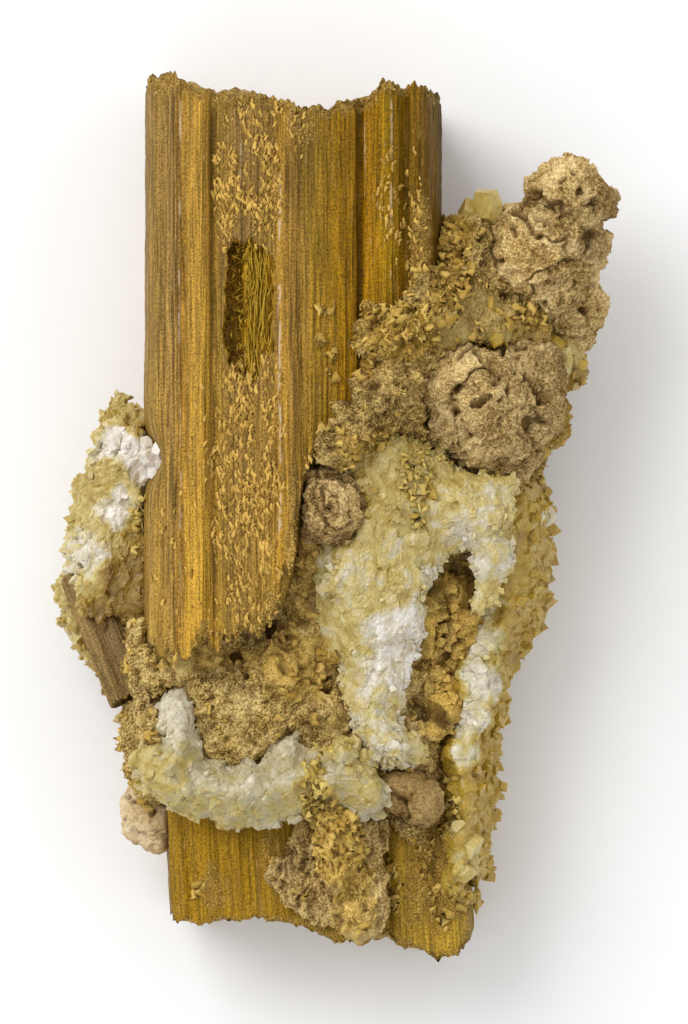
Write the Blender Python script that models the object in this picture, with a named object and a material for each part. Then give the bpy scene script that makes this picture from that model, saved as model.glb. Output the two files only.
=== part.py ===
"""Gibbsite pseudomorph: two straight, lengthwise-ribbed prisms of gibbsite after an older mineral, a small
third prism, and the crumbly gibbsite, pale crystal crusts and brown nodules that grew round them.

The specimen lies on the flat back faces of its two large prisms. Units are metres and +Z is up, out of the
display face. +Y runs up the long prism and +X to the right. The origin is below the middle of the specimen,
on the surface that it lies on. Outlines are written in millimetres and turned to metres by MM.
"""

import math
import random

import bmesh
import bpy
import numpy as np
from mathutils import Matrix, Vector, noise
from mathutils.geometry import delaunay_2d_cdt

MM = 0.001

# Driving sizes, in millimetres.
PRISM_DEPTH = 21.0
LOWER_PRISM_DEPTH = 13.0
GAP = 0.4
SHEET_RIM = 0.9
BACK_COARSER = 1.9
NODULE_DETAIL = 2
FLAT_ENOUGH = math.radians(0.3)
SLIVER_AREA = 2e-9

# The mean colour and the roughness of each piece.
FINISHES = {
    "main_prism": ("#9A7A38", 0.5),
    "lower_prism": ("#8E7030", 0.55),
    "side_prism": ("#7A5F3C", 0.6),
    "crumbly_gibbsite": ("#9B824B", 0.9),
    "upper_gibbsite_crust": ("#A07E3E", 0.85),
    "gibbsite_drape": ("#B08A42", 0.85),
    "fin_crystal_crust": ("#C0AE7C", 0.4),
    "bottom_crystal_crust": ("#B7A984", 0.4),
    "left_crystal_crust": ("#C6B387", 0.4),
    "right_crystal_crust": ("#A78F54", 0.4),
    "top_nodule": ("#A58956", 0.9),
    "middle_nodule": ("#987F52", 0.9),
    "small_nodule": ("#907544", 0.9),
    "lower_nodule": ("#957848", 0.8),
    "left_nodule": ("#C0A675", 0.8),
}
ROUND_PIECES = ("top_nodule", "middle_nodule", "small_nodule", "lower_nodule", "left_nodule")
LOWER_PRISM_TURN = math.radians(3.2)
SIDE_PRISM_TURN = math.radians(22.0)

# The main prism's cross-section as (x, z): a flat back, plain sides and a ribbed front.
MAIN_SECTION = (
    (-13.6, 0.0), (-3.6, 0.0), (6.2, 0.0), (7.2, 1.5), (7.0, 3.3), (7.8, 5.6), (7.5, 7.4), (8.0, 9.8),
    (7.7, 12.6), (7.9, 15.4), (6.7, 18.1), (5.7, 18.9), (4.9, 18.4), (4.5, 19.1), (3.3, 19.9),
    (2.1, 20.1), (1.6, 19.3), (1.2, 20.2), (-1.4, 20.6), (-3.0, 20.9), (-3.9, 21.5), (-4.8, 21.1),
    (-6.9, 20.8), (-9.2, 20.8), (-9.8, 20.3), (-10.8, 21.1), (-11.6, 20.5), (-12.5, 20.0),
    (-12.9, 20.5), (-13.6, 19.9), (-14.6, 19.4), (-15.2, 18.0), (-15.0, 15.4), (-15.5, 13.0),
    (-15.1, 10.4), (-15.5, 7.8), (-15.0, 5.4), (-15.2, 3.0), (-14.5, 1.0),
)
# Where the main prism's broken ends cross its front face, as (x, y) from left to right.
MAIN_TOP = (
    (-15.4, 35.0), (-14.0, 34.9), (-12.5, 34.5), (-11.3, 34.1), (-10.2, 33.6), (-9.2, 34.0),
    (-8.4, 34.3), (-7.0, 33.9), (-5.8, 33.5), (-4.6, 33.0), (-3.4, 32.2), (-2.3, 32.1), (-0.7, 32.4),
    (0.9, 32.8), (2.5, 33.2), (3.1, 33.9), (3.9, 34.2), (4.9, 33.7), (6.8, 33.5), (7.9, 33.0),
)
MAIN_FOOT = (
    (-15.4, -10.3), (-14.4, -10.9), (-12.9, -11.2), (-12.0, -10.9), (-11.2, -9.7), (-9.0, -9.3),
    (-7.0, -8.6), (-5.0, -7.4), (-3.9, -5.8), (-3.4, -4.0), (-3.0, 3.2), (-1.9, 5.6), (-0.7, 7.0),
    (1.5, 8.2), (4.0, 10.0), (7.9, 12.0),
)
TOP_LEAN = 0.6
FOOT_LEAN = 2.0
EDGE_CHIP = {"x": -15.2, "y": 4.8, "depth": 1.3, "half_length": 1.8}
MAIN_RINGS = (0.27, 0.305, 0.335, 0.37, 0.41)

# The window in the main prism's front: a deep left half and a shallow right half, as (x, y).
SLOT_DEEP = (
    (-9.0, 21.3), (-8.5, 21.8), (-7.4, 21.7), (-7.2, 17.5), (-7.3, 12.8), (-8.0, 11.1), (-8.5, 12.5),
    (-9.1, 13.2), (-9.0, 15.0), (-8.8, 18.0),
)
SLOT_SHALLOW = (
    (-7.6, 21.6), (-6.8, 21.4), (-5.9, 20.8), (-5.3, 20.2), (-5.3, 16.0), (-5.4, 13.4), (-6.0, 12.9),
    (-6.5, 11.2), (-7.6, 11.0), (-7.7, 13.0),
)
SLOT_DEEP_FLOOR = 14.5
SLOT_SHALLOW_FLOOR = 18.6

LOWER_SECTION = (
    (-12.4, 0.0), (-1.5, 0.0), (9.2, 0.0), (10.2, 1.4), (10.0, 3.2), (10.7, 5.6), (10.3, 8.0),
    (10.1, 10.2), (8.9, 11.3), (7.6, 10.8), (6.4, 11.6), (4.6, 12.1), (3.7, 11.2), (2.6, 12.4),
    (0.2, 12.7), (-3.0, 12.8), (-5.5, 13.0), (-6.3, 12.6), (-9.5, 12.9), (-12.6, 12.8), (-13.4, 12.0),
    (-13.3, 9.4), (-13.8, 6.8), (-13.4, 4.2), (-13.6, 2.2),
)
LOWER_TOP = ((-13.7, -14.8), (-8.0, -13.4), (-3.0, -12.4), (0.0, -9.6), (5.0, -7.4), (10.7, -8.2))
LOWER_FOOT = (
    (-13.7, -31.6), (-11.0, -31.8), (-8.6, -32.0), (-6.6, -31.8), (-4.6, -32.5), (-3.0, -32.8),
    (-0.7, -33.7), (1.2, -34.7), (1.6, -33.7), (3.7, -33.9), (4.9, -35.2), (6.6, -35.1), (8.5, -37.0),
    (9.4, -35.6), (10.7, -33.7),
)

SIDE_SECTION = (
    (-1.4, -1.0), (0.2, -1.5), (1.6, -0.8), (1.8, 0.5), (0.9, 1.4), (0.0, 1.0), (-0.9, 1.5), (-1.7, 0.6),
)
SIDE_DIVE = math.radians(-13)
SIDE_PLACE = (-18.7, -9.4, 9.3)
SIDE_HALF_LENGTH = 5.6

# Nodule lobes as (x, y, z, radius).
TOP_NODULE = (
    (18.0, 25.3, 12.8, 3.1), (15.2, 21.1, 13.6, 3.7), (17.6, 21.2, 12.6, 3.3), (16.2, 18.8, 12.6, 2.9),
    (18.2, 16.9, 11.2, 2.7), (20.1, 22.0, 11.2, 1.5), (20.7, 25.0, 12.0, 1.3), (18.4, 15.2, 10.6, 1.7),
)
MIDDLE_NODULE = (
    (11.7, 8.7, 14.4, 4.8), (9.2, 10.7, 16.4, 3.1), (14.4, 11.0, 14.0, 3.2), (12.8, 5.8, 13.6, 2.9),
    (9.0, 8.2, 16.4, 2.6), (15.4, 8.6, 12.6, 2.3),
)
SMALL_NODULE = ((-0.9, 0.9, 18.4, 2.75), (-2.0, 2.1, 18.6, 1.6), (0.4, 2.4, 17.8, 1.6))
LOWER_NODULE = ((4.5, -21.6, 14.2, 1.55), (6.3, -22.3, 14.0, 1.75), (5.6, -20.9, 13.8, 1.3))
LEFT_NODULE = (
    (-15.6, -22.9, 8.6, 1.8), (-15.9, -24.4, 8.0, 1.45), (-14.7, -25.3, 8.2, 1.35), (-14.4, -23.6, 9.0, 1.7),
)

# Outlines of the crusts, as (x, y) from the display side, counter-clockwise.
FIN_OUTLINE = (
    (1.3, 6.3), (-0.2, 4.4), (0.6, 1.0), (-0.4, -0.8), (-1.0, -1.7), (-1.4, -2.8), (-2.0, -3.3),
    (-1.4, -4.1), (-2.2, -4.9), (-1.5, -5.6), (-2.2, -6.5), (-1.5, -7.3), (-2.0, -8.2), (-1.9, -9.5),
    (-0.7, -9.6), (-0.1, -10.8), (0.3, -12.0), (0.4, -13.4), (1.1, -15.0), (1.4, -16.6), (2.0, -17.8),
    (3.0, -18.8), (4.6, -19.3), (6.3, -18.8), (6.9, -17.9), (5.0, -17.0), (4.2, -15.6), (4.7, -13.6),
    (5.1, -11.6), (5.7, -9.6), (6.8, -8.4), (6.9, -6.3), (7.4, -4.1), (8.0, -2.4), (9.4, -2.0),
    (10.5, -2.6), (10.9, -5.0), (10.6, -7.6), (11.6, -7.0), (12.3, -5.6), (12.9, -4.4), (13.6, -3.2),
    (13.4, -2.0), (12.8, -1.0), (13.5, 0.3), (13.2, 1.5), (13.8, 3.8), (12.4, 3.4), (10.6, 3.2),
    (8.6, 4.0), (7.0, 5.2), (4.9, 6.4), (2.9, 7.0),
)
BOTTOM_OUTLINE = (
    (-13.8, -13.6), (-14.0, -15.8), (-13.6, -17.6), (-14.8, -18.0), (-16.6, -18.6), (-15.9, -19.8),
    (-15.2, -21.1), (-14.4, -21.9), (-13.6, -22.9), (-12.4, -22.6), (-11.4, -23.6), (-10.2, -23.3),
    (-9.1, -24.1), (-7.9, -24.5), (-7.0, -23.9), (-5.6, -24.2), (-4.4, -23.3), (-3.0, -23.2),
    (-1.6, -22.2), (0.6, -22.4), (2.0, -23.3), (3.4, -22.7), (3.9, -21.3), (2.6, -20.2), (1.5, -18.8),
    (1.2, -17.4), (0.2, -17.0), (-0.8, -18.2), (-2.8, -18.1), (-3.6, -17.0), (-5.2, -17.4),
    (-6.0, -19.3), (-8.4, -19.6), (-10.6, -18.9), (-11.4, -16.8), (-11.8, -14.6), (-12.6, -13.2),
)
LEFT_OUTLINE = (
    (-12.8, 7.6), (-14.6, 7.8), (-15.8, 8.5), (-16.9, 9.2), (-18.2, 9.5), (-18.7, 8.0), (-19.5, 7.2),
    (-19.0, 5.7), (-19.9, 4.6), (-20.3, 3.3), (-21.2, 1.9), (-21.2, 0.2), (-21.7, -1.3), (-21.5, -3.1),
    (-22.1, -4.6), (-22.6, -6.1), (-21.9, -7.3), (-22.1, -8.7), (-20.9, -9.8), (-20.0, -11.2),
    (-19.0, -12.7), (-18.2, -14.0), (-17.3, -15.0), (-16.9, -16.4), (-15.4, -15.6), (-14.4, -12.0),
    (-12.8, -8.0), (-12.4, -2.0), (-12.4, 3.0),
)
RIGHT_OUTLINE = (
    (13.4, 4.4), (11.4, 3.4), (10.9, -1.6), (10.7, -5.6), (10.0, -9.8), (9.1, -13.4), (8.0, -16.2),
    (7.4, -19.0), (7.2, -22.2), (7.4, -25.4), (7.2, -28.6), (8.0, -31.6), (8.6, -35.0), (9.6, -34.0),
    (10.1, -32.1), (11.1, -30.5), (10.7, -29.0), (11.7, -28.5), (11.9, -27.0), (11.5, -25.2),
    (12.2, -23.8), (12.0, -22.8), (12.7, -22.0), (12.0, -20.4), (12.5, -19.0), (12.3, -17.1),
    (13.1, -15.6), (12.7, -14.2), (13.5, -12.5), (14.4, -11.6), (13.8, -10.9), (15.2, -9.6),
    (16.1, -8.0), (16.4, -5.6), (16.8, -3.3), (16.3, -1.3), (17.0, 0.2), (16.4, 1.4), (16.7, 2.6),
    (15.2, 3.5),
)
UPPER_OUTLINE = (
    (8.0, 24.2), (7.9, 22.0), (7.9, 20.4), (6.4, 20.0), (5.0, 20.3), (4.4, 18.0), (3.4, 16.4),
    (2.4, 17.6), (1.3, 15.6), (1.5, 12.0), (0.9, 9.0), (-0.8, 7.6), (-2.2, 5.4), (-0.6, 4.6),
    (1.4, 6.2), (3.0, 7.2), (5.2, 6.6), (7.4, 5.4), (9.6, 4.2), (12.4, 3.8), (15.6, 4.0), (16.3, 5.6),
    (17.7, 7.4), (17.9, 9.0), (17.4, 10.2), (18.8, 11.8), (18.4, 14.6), (16.4, 18.4), (13.4, 22.0),
    (12.4, 23.8), (10.6, 24.2), (9.2, 23.2),
)
DRAPE_OUTLINE = (
    (-1.8, -20.4), (-2.4, -22.4), (-3.8, -24.6), (-4.8, -26.4), (-6.0, -27.9), (-4.9, -30.0),
    (-3.0, -31.6), (-0.8, -32.3), (1.2, -33.3), (3.4, -32.6), (3.8, -30.2), (3.4, -27.0), (3.8, -23.6),
    (1.6, -22.6), (0.2, -20.8),
)
CRUMBLY_OUTLINE = (
    (-9.0, -4.0), (-14.4, -6.2), (-16.2, -7.2), (-16.7, -9.6), (-17.0, -11.8), (-16.6, -14.2),
    (-17.1, -16.2), (-16.9, -18.6), (-16.6, -20.6), (-15.2, -22.6), (-12.0, -24.6), (-4.0, -25.2),
    (2.0, -25.8), (7.4, -27.0), (8.0, -22.0), (8.6, -18.0), (9.8, -13.4), (10.8, -9.8), (11.5, -5.6),
    (11.8, -1.6), (12.4, 3.0), (9.6, 4.6), (4.0, 8.6), (0.0, 8.0), (-3.0, 6.0), (-4.6, 0.0),
)

# Heights of the crusts: bumps and hollows as (x, y, rise, radius), all in millimetres.
FIN_BUMPS = ((2.0, -4.5, 1.4, 5.0), (3.0, 3.0, 0.9, 3.0), (11.0, 1.0, 0.6, 3.0), (4.2, -17.4, 1.0, 2.4))
BOTTOM_BUMPS = (
    (-12.6, -16.0, 1.2, 1.8), (-14.0, -20.2, 0.8, 2.4), (-8.4, -21.6, 0.9, 3.4), (0.0, -17.8, 1.2, 1.4),
    (1.8, -20.9, 1.2, 1.6), (-3.4, -18.4, 0.7, 1.6),
)
LEFT_BUMPS = (
    (-17.6, 6.0, 1.6, 2.4), (-16.0, 2.4, 1.4, 1.8), (-19.6, -3.6, 1.2, 3.0), (-17.4, -10.8, -1.6, 2.6),
)
RIGHT_BUMPS = (
    (13.6, 0.0, 1.2, 2.6), (13.2, -6.2, 1.5, 3.2), (10.6, -14.2, 1.1, 2.6), (10.2, -20.0, 0.8, 2.2),
    (10.2, -26.4, 1.6, 1.7), (9.3, -31.4, 0.6, 1.6),
)
UPPER_BUMPS = (
    (5.8, 19.0, 0.9, 1.4), (2.8, 13.6, 0.8, 2.2), (4.0, 9.4, 1.0, 2.4), (7.2, 15.4, 1.3, 2.8),
    (6.2, 12.4, 1.2, 1.8), (7.4, 9.0, -1.8, 2.2), (13.6, 14.6, 1.2, 2.0), (11.4, 15.8, 0.8, 1.6),
    (17.2, 11.0, 0.8, 1.6),
)
DRAPE_BUMPS = ((0.6, -23.2, 1.3, 1.8), (-1.4, -27.6, 0.5, 2.4), (2.6, -29.4, 0.7, 1.6))
CRUMBLY_BUMPS = (
    (9.2, -3.4, -4.6, 1.7), (8.6, -7.4, -5.0, 1.9), (7.4, -11.2, -4.6, 1.8), (6.4, -14.6, -4.0, 1.7),
    (-5.4, -9.0, -2.8, 1.2), (-8.4, -10.8, -1.8, 1.0), (-13.4, -13.6, -1.6, 1.2),
    (-0.4, -11.4, -1.8, 1.4), (-7.0, -14.6, 1.4, 3.0), (-15.4, -12.0, 0.6, 2.2),
)

# The larger crystals, as (x, y, z, half-length, lean, turn), fused to the crust named.
CRYSTALS = {
    "right_crystal_crust": (
        (16.6, 0.4, 7.2, 1.15, 70, -60), (16.2, -2.6, 7.0, 0.9, 75, -100),
        (14.2, -11.4, 6.0, 0.95, 80, -110), (10.2, -26.2, 12.0, 1.5, 20, 40),
        (9.4, -28.4, 11.4, 1.0, 25, 10), (12.2, -22.2, 6.4, 0.8, 80, -90),
        (11.2, -30.2, 6.0, 0.8, 80, -80),
    ),
    "left_crystal_crust": (
        (-15.9, 3.8, 12.8, 1.3, 30, -30), (-17.6, 7.8, 11.4, 1.1, 40, 20),
        (-21.4, -5.6, 7.8, 0.9, 75, 80), (-16.8, 0.6, 12.4, 1.0, 20, 50),
    ),
    "upper_gibbsite_crust": (
        (11.6, 24.3, 13.2, 1.75, 62, -15), (9.8, 23.0, 14.4, 1.1, 40, 30),
        (18.6, 11.8, 11.4, 1.2, 70, -100), (17.9, 5.2, 10.0, 1.0, 65, -90),
        (12.6, 15.2, 15.2, 1.2, 25, 10),
    ),
    "bottom_crystal_crust": (
        (-12.7, -15.4, 17.4, 1.5, 70, 170), (0.0, -17.6, 17.6, 0.95, 30, 10),
        (0.9, -18.2, 17.2, 0.8, 35, -60), (2.2, -21.2, 17.6, 1.2, 60, 190),
        (-15.4, -19.0, 15.2, 1.0, 60, 100), (-6.2, -23.4, 15.6, 1.0, 65, 175),
    ),
    "fin_crystal_crust": (
        (-1.6, -8.6, 18.6, 1.1, 70, 120), (4.6, -18.0, 17.6, 1.1, 40, 200),
        (2.6, -17.4, 17.6, 0.9, 30, 60), (-1.4, -5.4, 19.2, 0.9, 65, 95),
        (3.6, 1.6, 19.4, 1.0, 50, -30),
    ),
}


# The crusts, with the crumbly one that fills what is left between them last. Each plane is given as
# (height, slope in x, slope in y).
CRUSTS = (
    {
        "name": "fin_crystal_crust", "outline": FIN_OUTLINE, "bumps": FIN_BUMPS, "seed": 21,
        "rim": (17.2, -0.12, 0.07), "crest": (18.8, -0.13, 0.07), "floor": (14.6, -0.13, 0.07),
        "shoulder": 1.1, "facet": 0.45, "spacing": 1.7, "tooth": 0.6,
    },
    {
        "name": "bottom_crystal_crust", "outline": BOTTOM_OUTLINE, "bumps": BOTTOM_BUMPS, "seed": 22,
        "rim": (16.4, 0.0, 0.04), "crest": (18.6, 0.0, 0.04), "floor": (13.4, 0.0, 0.0),
        "shoulder": 1.0, "facet": 0.45, "spacing": 1.7, "tooth": 0.6,
    },
    {
        "name": "left_crystal_crust", "outline": LEFT_OUTLINE, "bumps": LEFT_BUMPS, "seed": 23,
        "rim": (9.5, 0.1, 0.16), "crest": (14.8, 0.14, 0.16), "floor": (3.0, 0.0, 0.05),
        "shoulder": 2.0, "facet": 0.45, "spacing": 1.7, "tooth": 0.6,
    },
    {
        "name": "right_crystal_crust", "outline": RIGHT_OUTLINE, "bumps": RIGHT_BUMPS, "seed": 24,
        "rim": (11.0, -0.2, 0.03), "crest": (20.4, -0.5, 0.1), "floor": (2.4, 0.0, 0.02),
        "shoulder": 2.0, "facet": 0.45, "spacing": 1.9, "tooth": 0.6,
    },
    {
        "name": "gibbsite_drape", "outline": DRAPE_OUTLINE, "bumps": DRAPE_BUMPS, "seed": 25,
        "rim": (13.2, 0.0, 0.0), "crest": (14.6, 0.0, 0.02), "floor": (12.2, 0.0, 0.0),
        "shoulder": 0.9, "facet": 0.3, "spacing": 1.5, "tooth": 0.5,
    },
    {
        "name": "upper_gibbsite_crust", "outline": UPPER_OUTLINE, "bumps": UPPER_BUMPS, "seed": 26,
        "rim": (20.8, -0.7, 0.0), "crest": (21.9, -0.52, 0.02), "floor": (9.6, -0.3, 0.0),
        "shoulder": 1.4, "facet": 0.45, "spacing": 1.9, "tooth": 0.5,
    },
    {
        "name": "crumbly_gibbsite", "outline": CRUMBLY_OUTLINE, "bumps": CRUMBLY_BUMPS, "seed": 27,
        "rim": (10.0, -0.08, 0.06), "crest": (16.2, -0.08, 0.06), "floor": (1.2, 0.02, 0.0),
        "shoulder": 2.2, "facet": 0.55, "spacing": 2.05, "tooth": 0.7,
    },
)


def hex_colour(code):
    """Linear RGBA of an sRGB hex code."""
    channels = [int(code[i : i + 2], 16) / 255 for i in (1, 3, 5)]
    return [c / 12.92 if c <= 0.04045 else ((c + 0.055) / 1.055) ** 2.4 for c in channels] + [1.0]


def stone(name):
    """A plain Principled material in the mean colour of the piece of that name."""
    code, roughness = FINISHES[name]
    made = bpy.data.materials.new(name + " stone")
    made.use_nodes = True
    shader = made.node_tree.nodes["Principled BSDF"]
    shader.inputs["Base Color"].default_value = hex_colour(code)
    shader.inputs["Roughness"].default_value = roughness
    shader.inputs["Metallic"].default_value = 0.0
    return made


def clear_scene():
    for obj in list(bpy.data.objects):
        bpy.data.objects.remove(obj, do_unlink=True)


def new_object(name, bm):
    """A scene object from bm, with its faces turned outwards."""
    bmesh.ops.recalc_face_normals(bm, faces=bm.faces)
    mesh = bpy.data.meshes.new(name)
    bm.to_mesh(mesh)
    bm.free()
    obj = bpy.data.objects.new(name, mesh)
    bpy.context.scene.collection.objects.link(obj)
    return obj


def along(polyline, x):
    """The second coordinate of a left-to-right polyline at x."""
    if x <= polyline[0][0]:
        return polyline[0][1]
    for (x0, y0), (x1, y1) in zip(polyline, polyline[1:]):
        if x <= x1:
            return y0 + (y1 - y0) * (x - x0) / (x1 - x0)
    return polyline[-1][1]


def rough(x, y, z, scale, seed):
    """Smooth noise between about -1 and 1, with features of about scale millimetres."""
    return noise.noise(Vector((x / scale + seed * 7.3, y / scale, z / scale)))


def distance_to_edge(x, y, outline):
    """How far a point is from the nearest side of a closed outline."""
    point = Vector((x, y))
    nearest = 1e9
    for a, b in zip(outline, outline[1:] + outline[:1]):
        start, side = Vector(a), Vector(b) - Vector(a)
        share = max(0.0, min(1.0, (point - start).dot(side) / max(side.length_squared, 1e-9)))
        nearest = min(nearest, (point - start - side * share).length)
    return nearest


def inside(x, y, outline):
    """Whether a point lies inside a closed outline."""
    found = False
    for (x0, y0), (x1, y1) in zip(outline, outline[1:] + outline[:1]):
        if (y0 > y) != (y1 > y) and x < x0 + (x1 - x0) * (y - y0) / (y1 - y0):
            found = not found
    return found


def filled(outline, spacing, seed, margin=0.55):
    """Points and triangles that fill a closed outline. The outline's own points come first, in order."""
    pick = random.Random(seed)
    xs, ys = [p[0] for p in outline], [p[1] for p in outline]
    points = list(outline)
    row_step = spacing * math.sqrt(3) / 2
    rows = int((max(ys) - min(ys)) / row_step) + 1
    columns = int((max(xs) - min(xs)) / spacing) + 2
    for row in range(rows):
        for column in range(columns):
            x = min(xs) + (column + 0.5 * (row % 2)) * spacing + pick.uniform(-0.25, 0.25) * spacing
            y = min(ys) + row * row_step + pick.uniform(-0.25, 0.25) * spacing
            if inside(x, y, outline) and distance_to_edge(x, y, outline) > margin * spacing:
                points.append((x, y))
    made = delaunay_2d_cdt([Vector(p) for p in points], [], [list(range(len(outline)))], 1, 1e-6)
    return [tuple(p) for p in made[0]], made[2]


def solid_between(name, outline, low, high, place, rings=(), spacings=(2.0, 2.0), seed=1):
    """A closed solid over an outline (u, v), from low(u, v, edge) to high(u, v, edge).

    place(u, v, w) gives the point in space, in millimetres. The rings are the shares of the way up at which
    the wall has a ring of points. The spacings are those of the points on the low face and on the high face.
    """
    outline = list(outline)
    bm = bmesh.new()
    faces = []
    for side, surface in enumerate((low, high)):
        points, triangles = filled(outline, spacings[side], seed + side)
        made = []
        for number, (u, v) in enumerate(points):
            edge = distance_to_edge(u, v, outline) if number >= len(outline) else 0.0
            made.append(bm.verts.new(Vector(place(u, v, surface(u, v, edge))) * MM))
        for triangle in triangles:
            bm.faces.new([made[i] for i in (triangle if side else reversed(triangle))])
        faces.append(made[: len(outline)])
    between = [[bm.verts.new(a.co.lerp(b.co, share)) for a, b in zip(*faces)] for share in rings]
    rings = [faces[0], *between, faces[1]]
    for under, over in zip(rings, rings[1:]):
        for i in range(len(outline)):
            j = (i + 1) % len(outline)
            bm.faces.new((under[i], under[j], over[j], over[i]))
    return new_object(name, bm)


def prism(name, section, top, foot, depth, rings, seed, top_lean=0.0, foot_lean=0.0, spacing=2.8):
    """A ribbed prism along +Y with rough broken ends, which the leans draw back with height."""

    def far_end(x, z, edge):
        bite = top_lean * (z / depth) ** 2 if -10.6 < x < -2.6 else 0.3 * top_lean * (z / depth) ** 2
        return along(top, x) - bite + 0.35 * rough(x, 0, z, 1.7, seed)

    def near_end(x, z, edge):
        return along(foot, x) + foot_lean * (1 - z / depth) + 0.35 * rough(x, 9, z, 1.7, seed + 3)

    return solid_between(
        name, section, near_end, far_end, lambda x, z, y: (x, y, z), rings, (spacing, spacing), seed
    )


def lens(crust):
    """A crust with a thin rim along its outline, which swells to its crest and floor across its shoulder.

    Its inner points are jogged up and down, which leaves flat facets between them.
    """
    pick = random.Random(crust["seed"] * 11)
    outline = serrated(crust["outline"], crust["tooth"], crust["seed"])

    def share(edge):
        inward = min(edge / crust["shoulder"], 1.0)
        return math.sqrt(1 - (1 - inward) ** 2)

    def front(x, y, edge):
        base = tilted(crust["rim"], x, y) + SHEET_RIM / 2
        crest = tilted(crust["crest"], x, y, crust["bumps"])
        return base + (max(crest - base, 0.0) + pick.uniform(-1, 1) * crust["facet"]) * share(edge)

    def back(x, y, edge):
        base = tilted(crust["rim"], x, y) - SHEET_RIM / 2
        return base - max(base - tilted(crust["floor"], x, y), 0.0) * share(edge)

    spacings = (crust["spacing"] * BACK_COARSER, crust["spacing"])
    return solid_between(
        crust["name"], outline, back, front, lambda x, y, z: (x, y, z), (), spacings, crust["seed"]
    )


def serrated(outline, tooth, seed):
    """The outline with its longer sides broken by teeth that stand out by up to so many millimetres."""
    pick = random.Random(seed * 5)
    made = []
    for a, b in zip(outline, outline[1:] + outline[:1]):
        start, side = Vector(a), Vector(b) - Vector(a)
        made.append(tuple(start))
        if side.length > 2.2 * tooth:
            outward = Vector((side.y, -side.x)).normalized()
            middle = start + side * pick.uniform(0.35, 0.65) + outward * tooth * pick.uniform(0.25, 0.9)
            made.append(tuple(middle))
    return made


def tilted(plane, x, y, bumps=()):
    """The height over (x, y) of a plane given as (height, slope in x, slope in y), with round bumps on it."""
    rise = sum(r * math.exp(-((x - bx) ** 2 + (y - by) ** 2) / (w * w)) for bx, by, r, w in bumps)
    return plane[0] + plane[1] * x + plane[2] * y + rise


def nodule(name, lobes, seed, dent=0.16):
    """A cluster of knobbly lobes fused into one solid."""
    parts = []
    for number, (x, y, z, radius) in enumerate(lobes):
        bm = bmesh.new()
        detail = NODULE_DETAIL if radius > 1.5 else NODULE_DETAIL - 1
        bmesh.ops.create_icosphere(bm, subdivisions=detail + (radius > 3.9), radius=1.0)
        for vert in bm.verts:
            at = vert.co * radius
            lump = rough(*at, 1.1, seed + number) + 0.6 * rough(*at, 0.6, seed)
            vert.co = (Vector((x, y, z)) + vert.co * radius * (1 + dent * lump)) * MM
        parts.append(new_object(f"{name}_lobe_{number}", bm))
    return fused(name, parts)


def crystal(place):
    """A steep rhomb-faced crystal, six faces round a three-sided tip at each end."""
    x, y, z, half_length, lean, turn = place
    waist = half_length * 0.62
    bm = bmesh.new()
    upper = [(waist, math.radians(60 + 120 * i), 0.28) for i in range(3)]
    lower = [(waist, math.radians(120 * i), -0.28) for i in range(3)]
    tip = bm.verts.new((0, 0, half_length))
    foot = bm.verts.new((0, 0, -half_length))
    ring = []
    for corner in range(3):
        for radius, angle, rise in (lower[corner], upper[corner]):
            corner_point = (radius * math.cos(angle), radius * math.sin(angle), rise * half_length)
            ring.append(bm.verts.new(corner_point))
    for i in range(3):
        low, high, next_low = ring[2 * i], ring[2 * i + 1], ring[(2 * i + 2) % 6]
        next_high = ring[(2 * i + 3) % 6]
        bm.faces.new((low, next_low, high))
        bm.faces.new((high, next_low, next_high))
        bm.faces.new((tip, high, next_high))
        bm.faces.new((foot, next_low, low))
    turned = Matrix.Rotation(math.radians(turn), 4, "Z") @ Matrix.Rotation(math.radians(lean), 4, "X")
    placed = Matrix.Diagonal((MM, MM, MM, 1)) @ Matrix.Translation((x, y, z)) @ turned
    bmesh.ops.transform(bm, matrix=placed, verts=bm.verts)
    return new_object("crystal", bm)


def plug(name, outline, low, high):
    """An upright block over an outline, for cutting a hole."""
    return solid_between(
        name, outline, lambda x, y, e: low, lambda x, y, e: high, lambda x, y, z: (x, y, z), (), (30, 30)
    )


def boolean(obj, other, operation):
    """Joins other to obj or cuts it from obj, for good, and removes other."""
    step = obj.modifiers.new(operation.lower(), "BOOLEAN")
    step.operation = operation
    step.object = other
    step.solver = "EXACT"
    step.use_self = True
    graph = bpy.context.evaluated_depsgraph_get()
    result = bpy.data.meshes.new_from_object(obj.evaluated_get(graph))
    obj.modifiers.remove(step)
    spare = obj.data
    obj.data = result
    bpy.data.meshes.remove(spare)
    bpy.data.objects.remove(other, do_unlink=True)


def fused(name, parts):
    """The union of several overlapping objects, as one object."""
    first = parts[0]
    for other in parts[1:]:
        boolean(first, other, "UNION")
    first.name = name
    return first


def outward_move(vert, by):
    """The move of a corner when each plane that meets there goes outwards by that much."""
    normals = []
    for face in sorted(vert.link_faces, key=lambda face: -face.calc_area()):
        if face.calc_area() > SLIVER_AREA and all(face.normal.dot(other) < 0.99 for other in normals):
            normals.append(face.normal.copy())
    if not normals:
        return vert.normal * by
    move = Vector(np.linalg.lstsq(np.array(normals), np.full(len(normals), by), rcond=0.15)[0])
    return move * min(1.0, 2.2 * by / max(move.length, 1e-9))


def grown(obj, by):
    """A copy of obj that stands proud of it by so many millimetres, for cutting a neighbour clear of it."""
    bm = bmesh.new()
    bm.from_mesh(obj.data)
    bmesh.ops.recalc_face_normals(bm, faces=bm.faces)
    bm.normal_update()
    moves = [outward_move(vert, by * MM) for vert in bm.verts]
    for vert, move in zip(bm.verts, moves):
        vert.co += move
    return new_object(obj.name + "_grown", bm)


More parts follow.
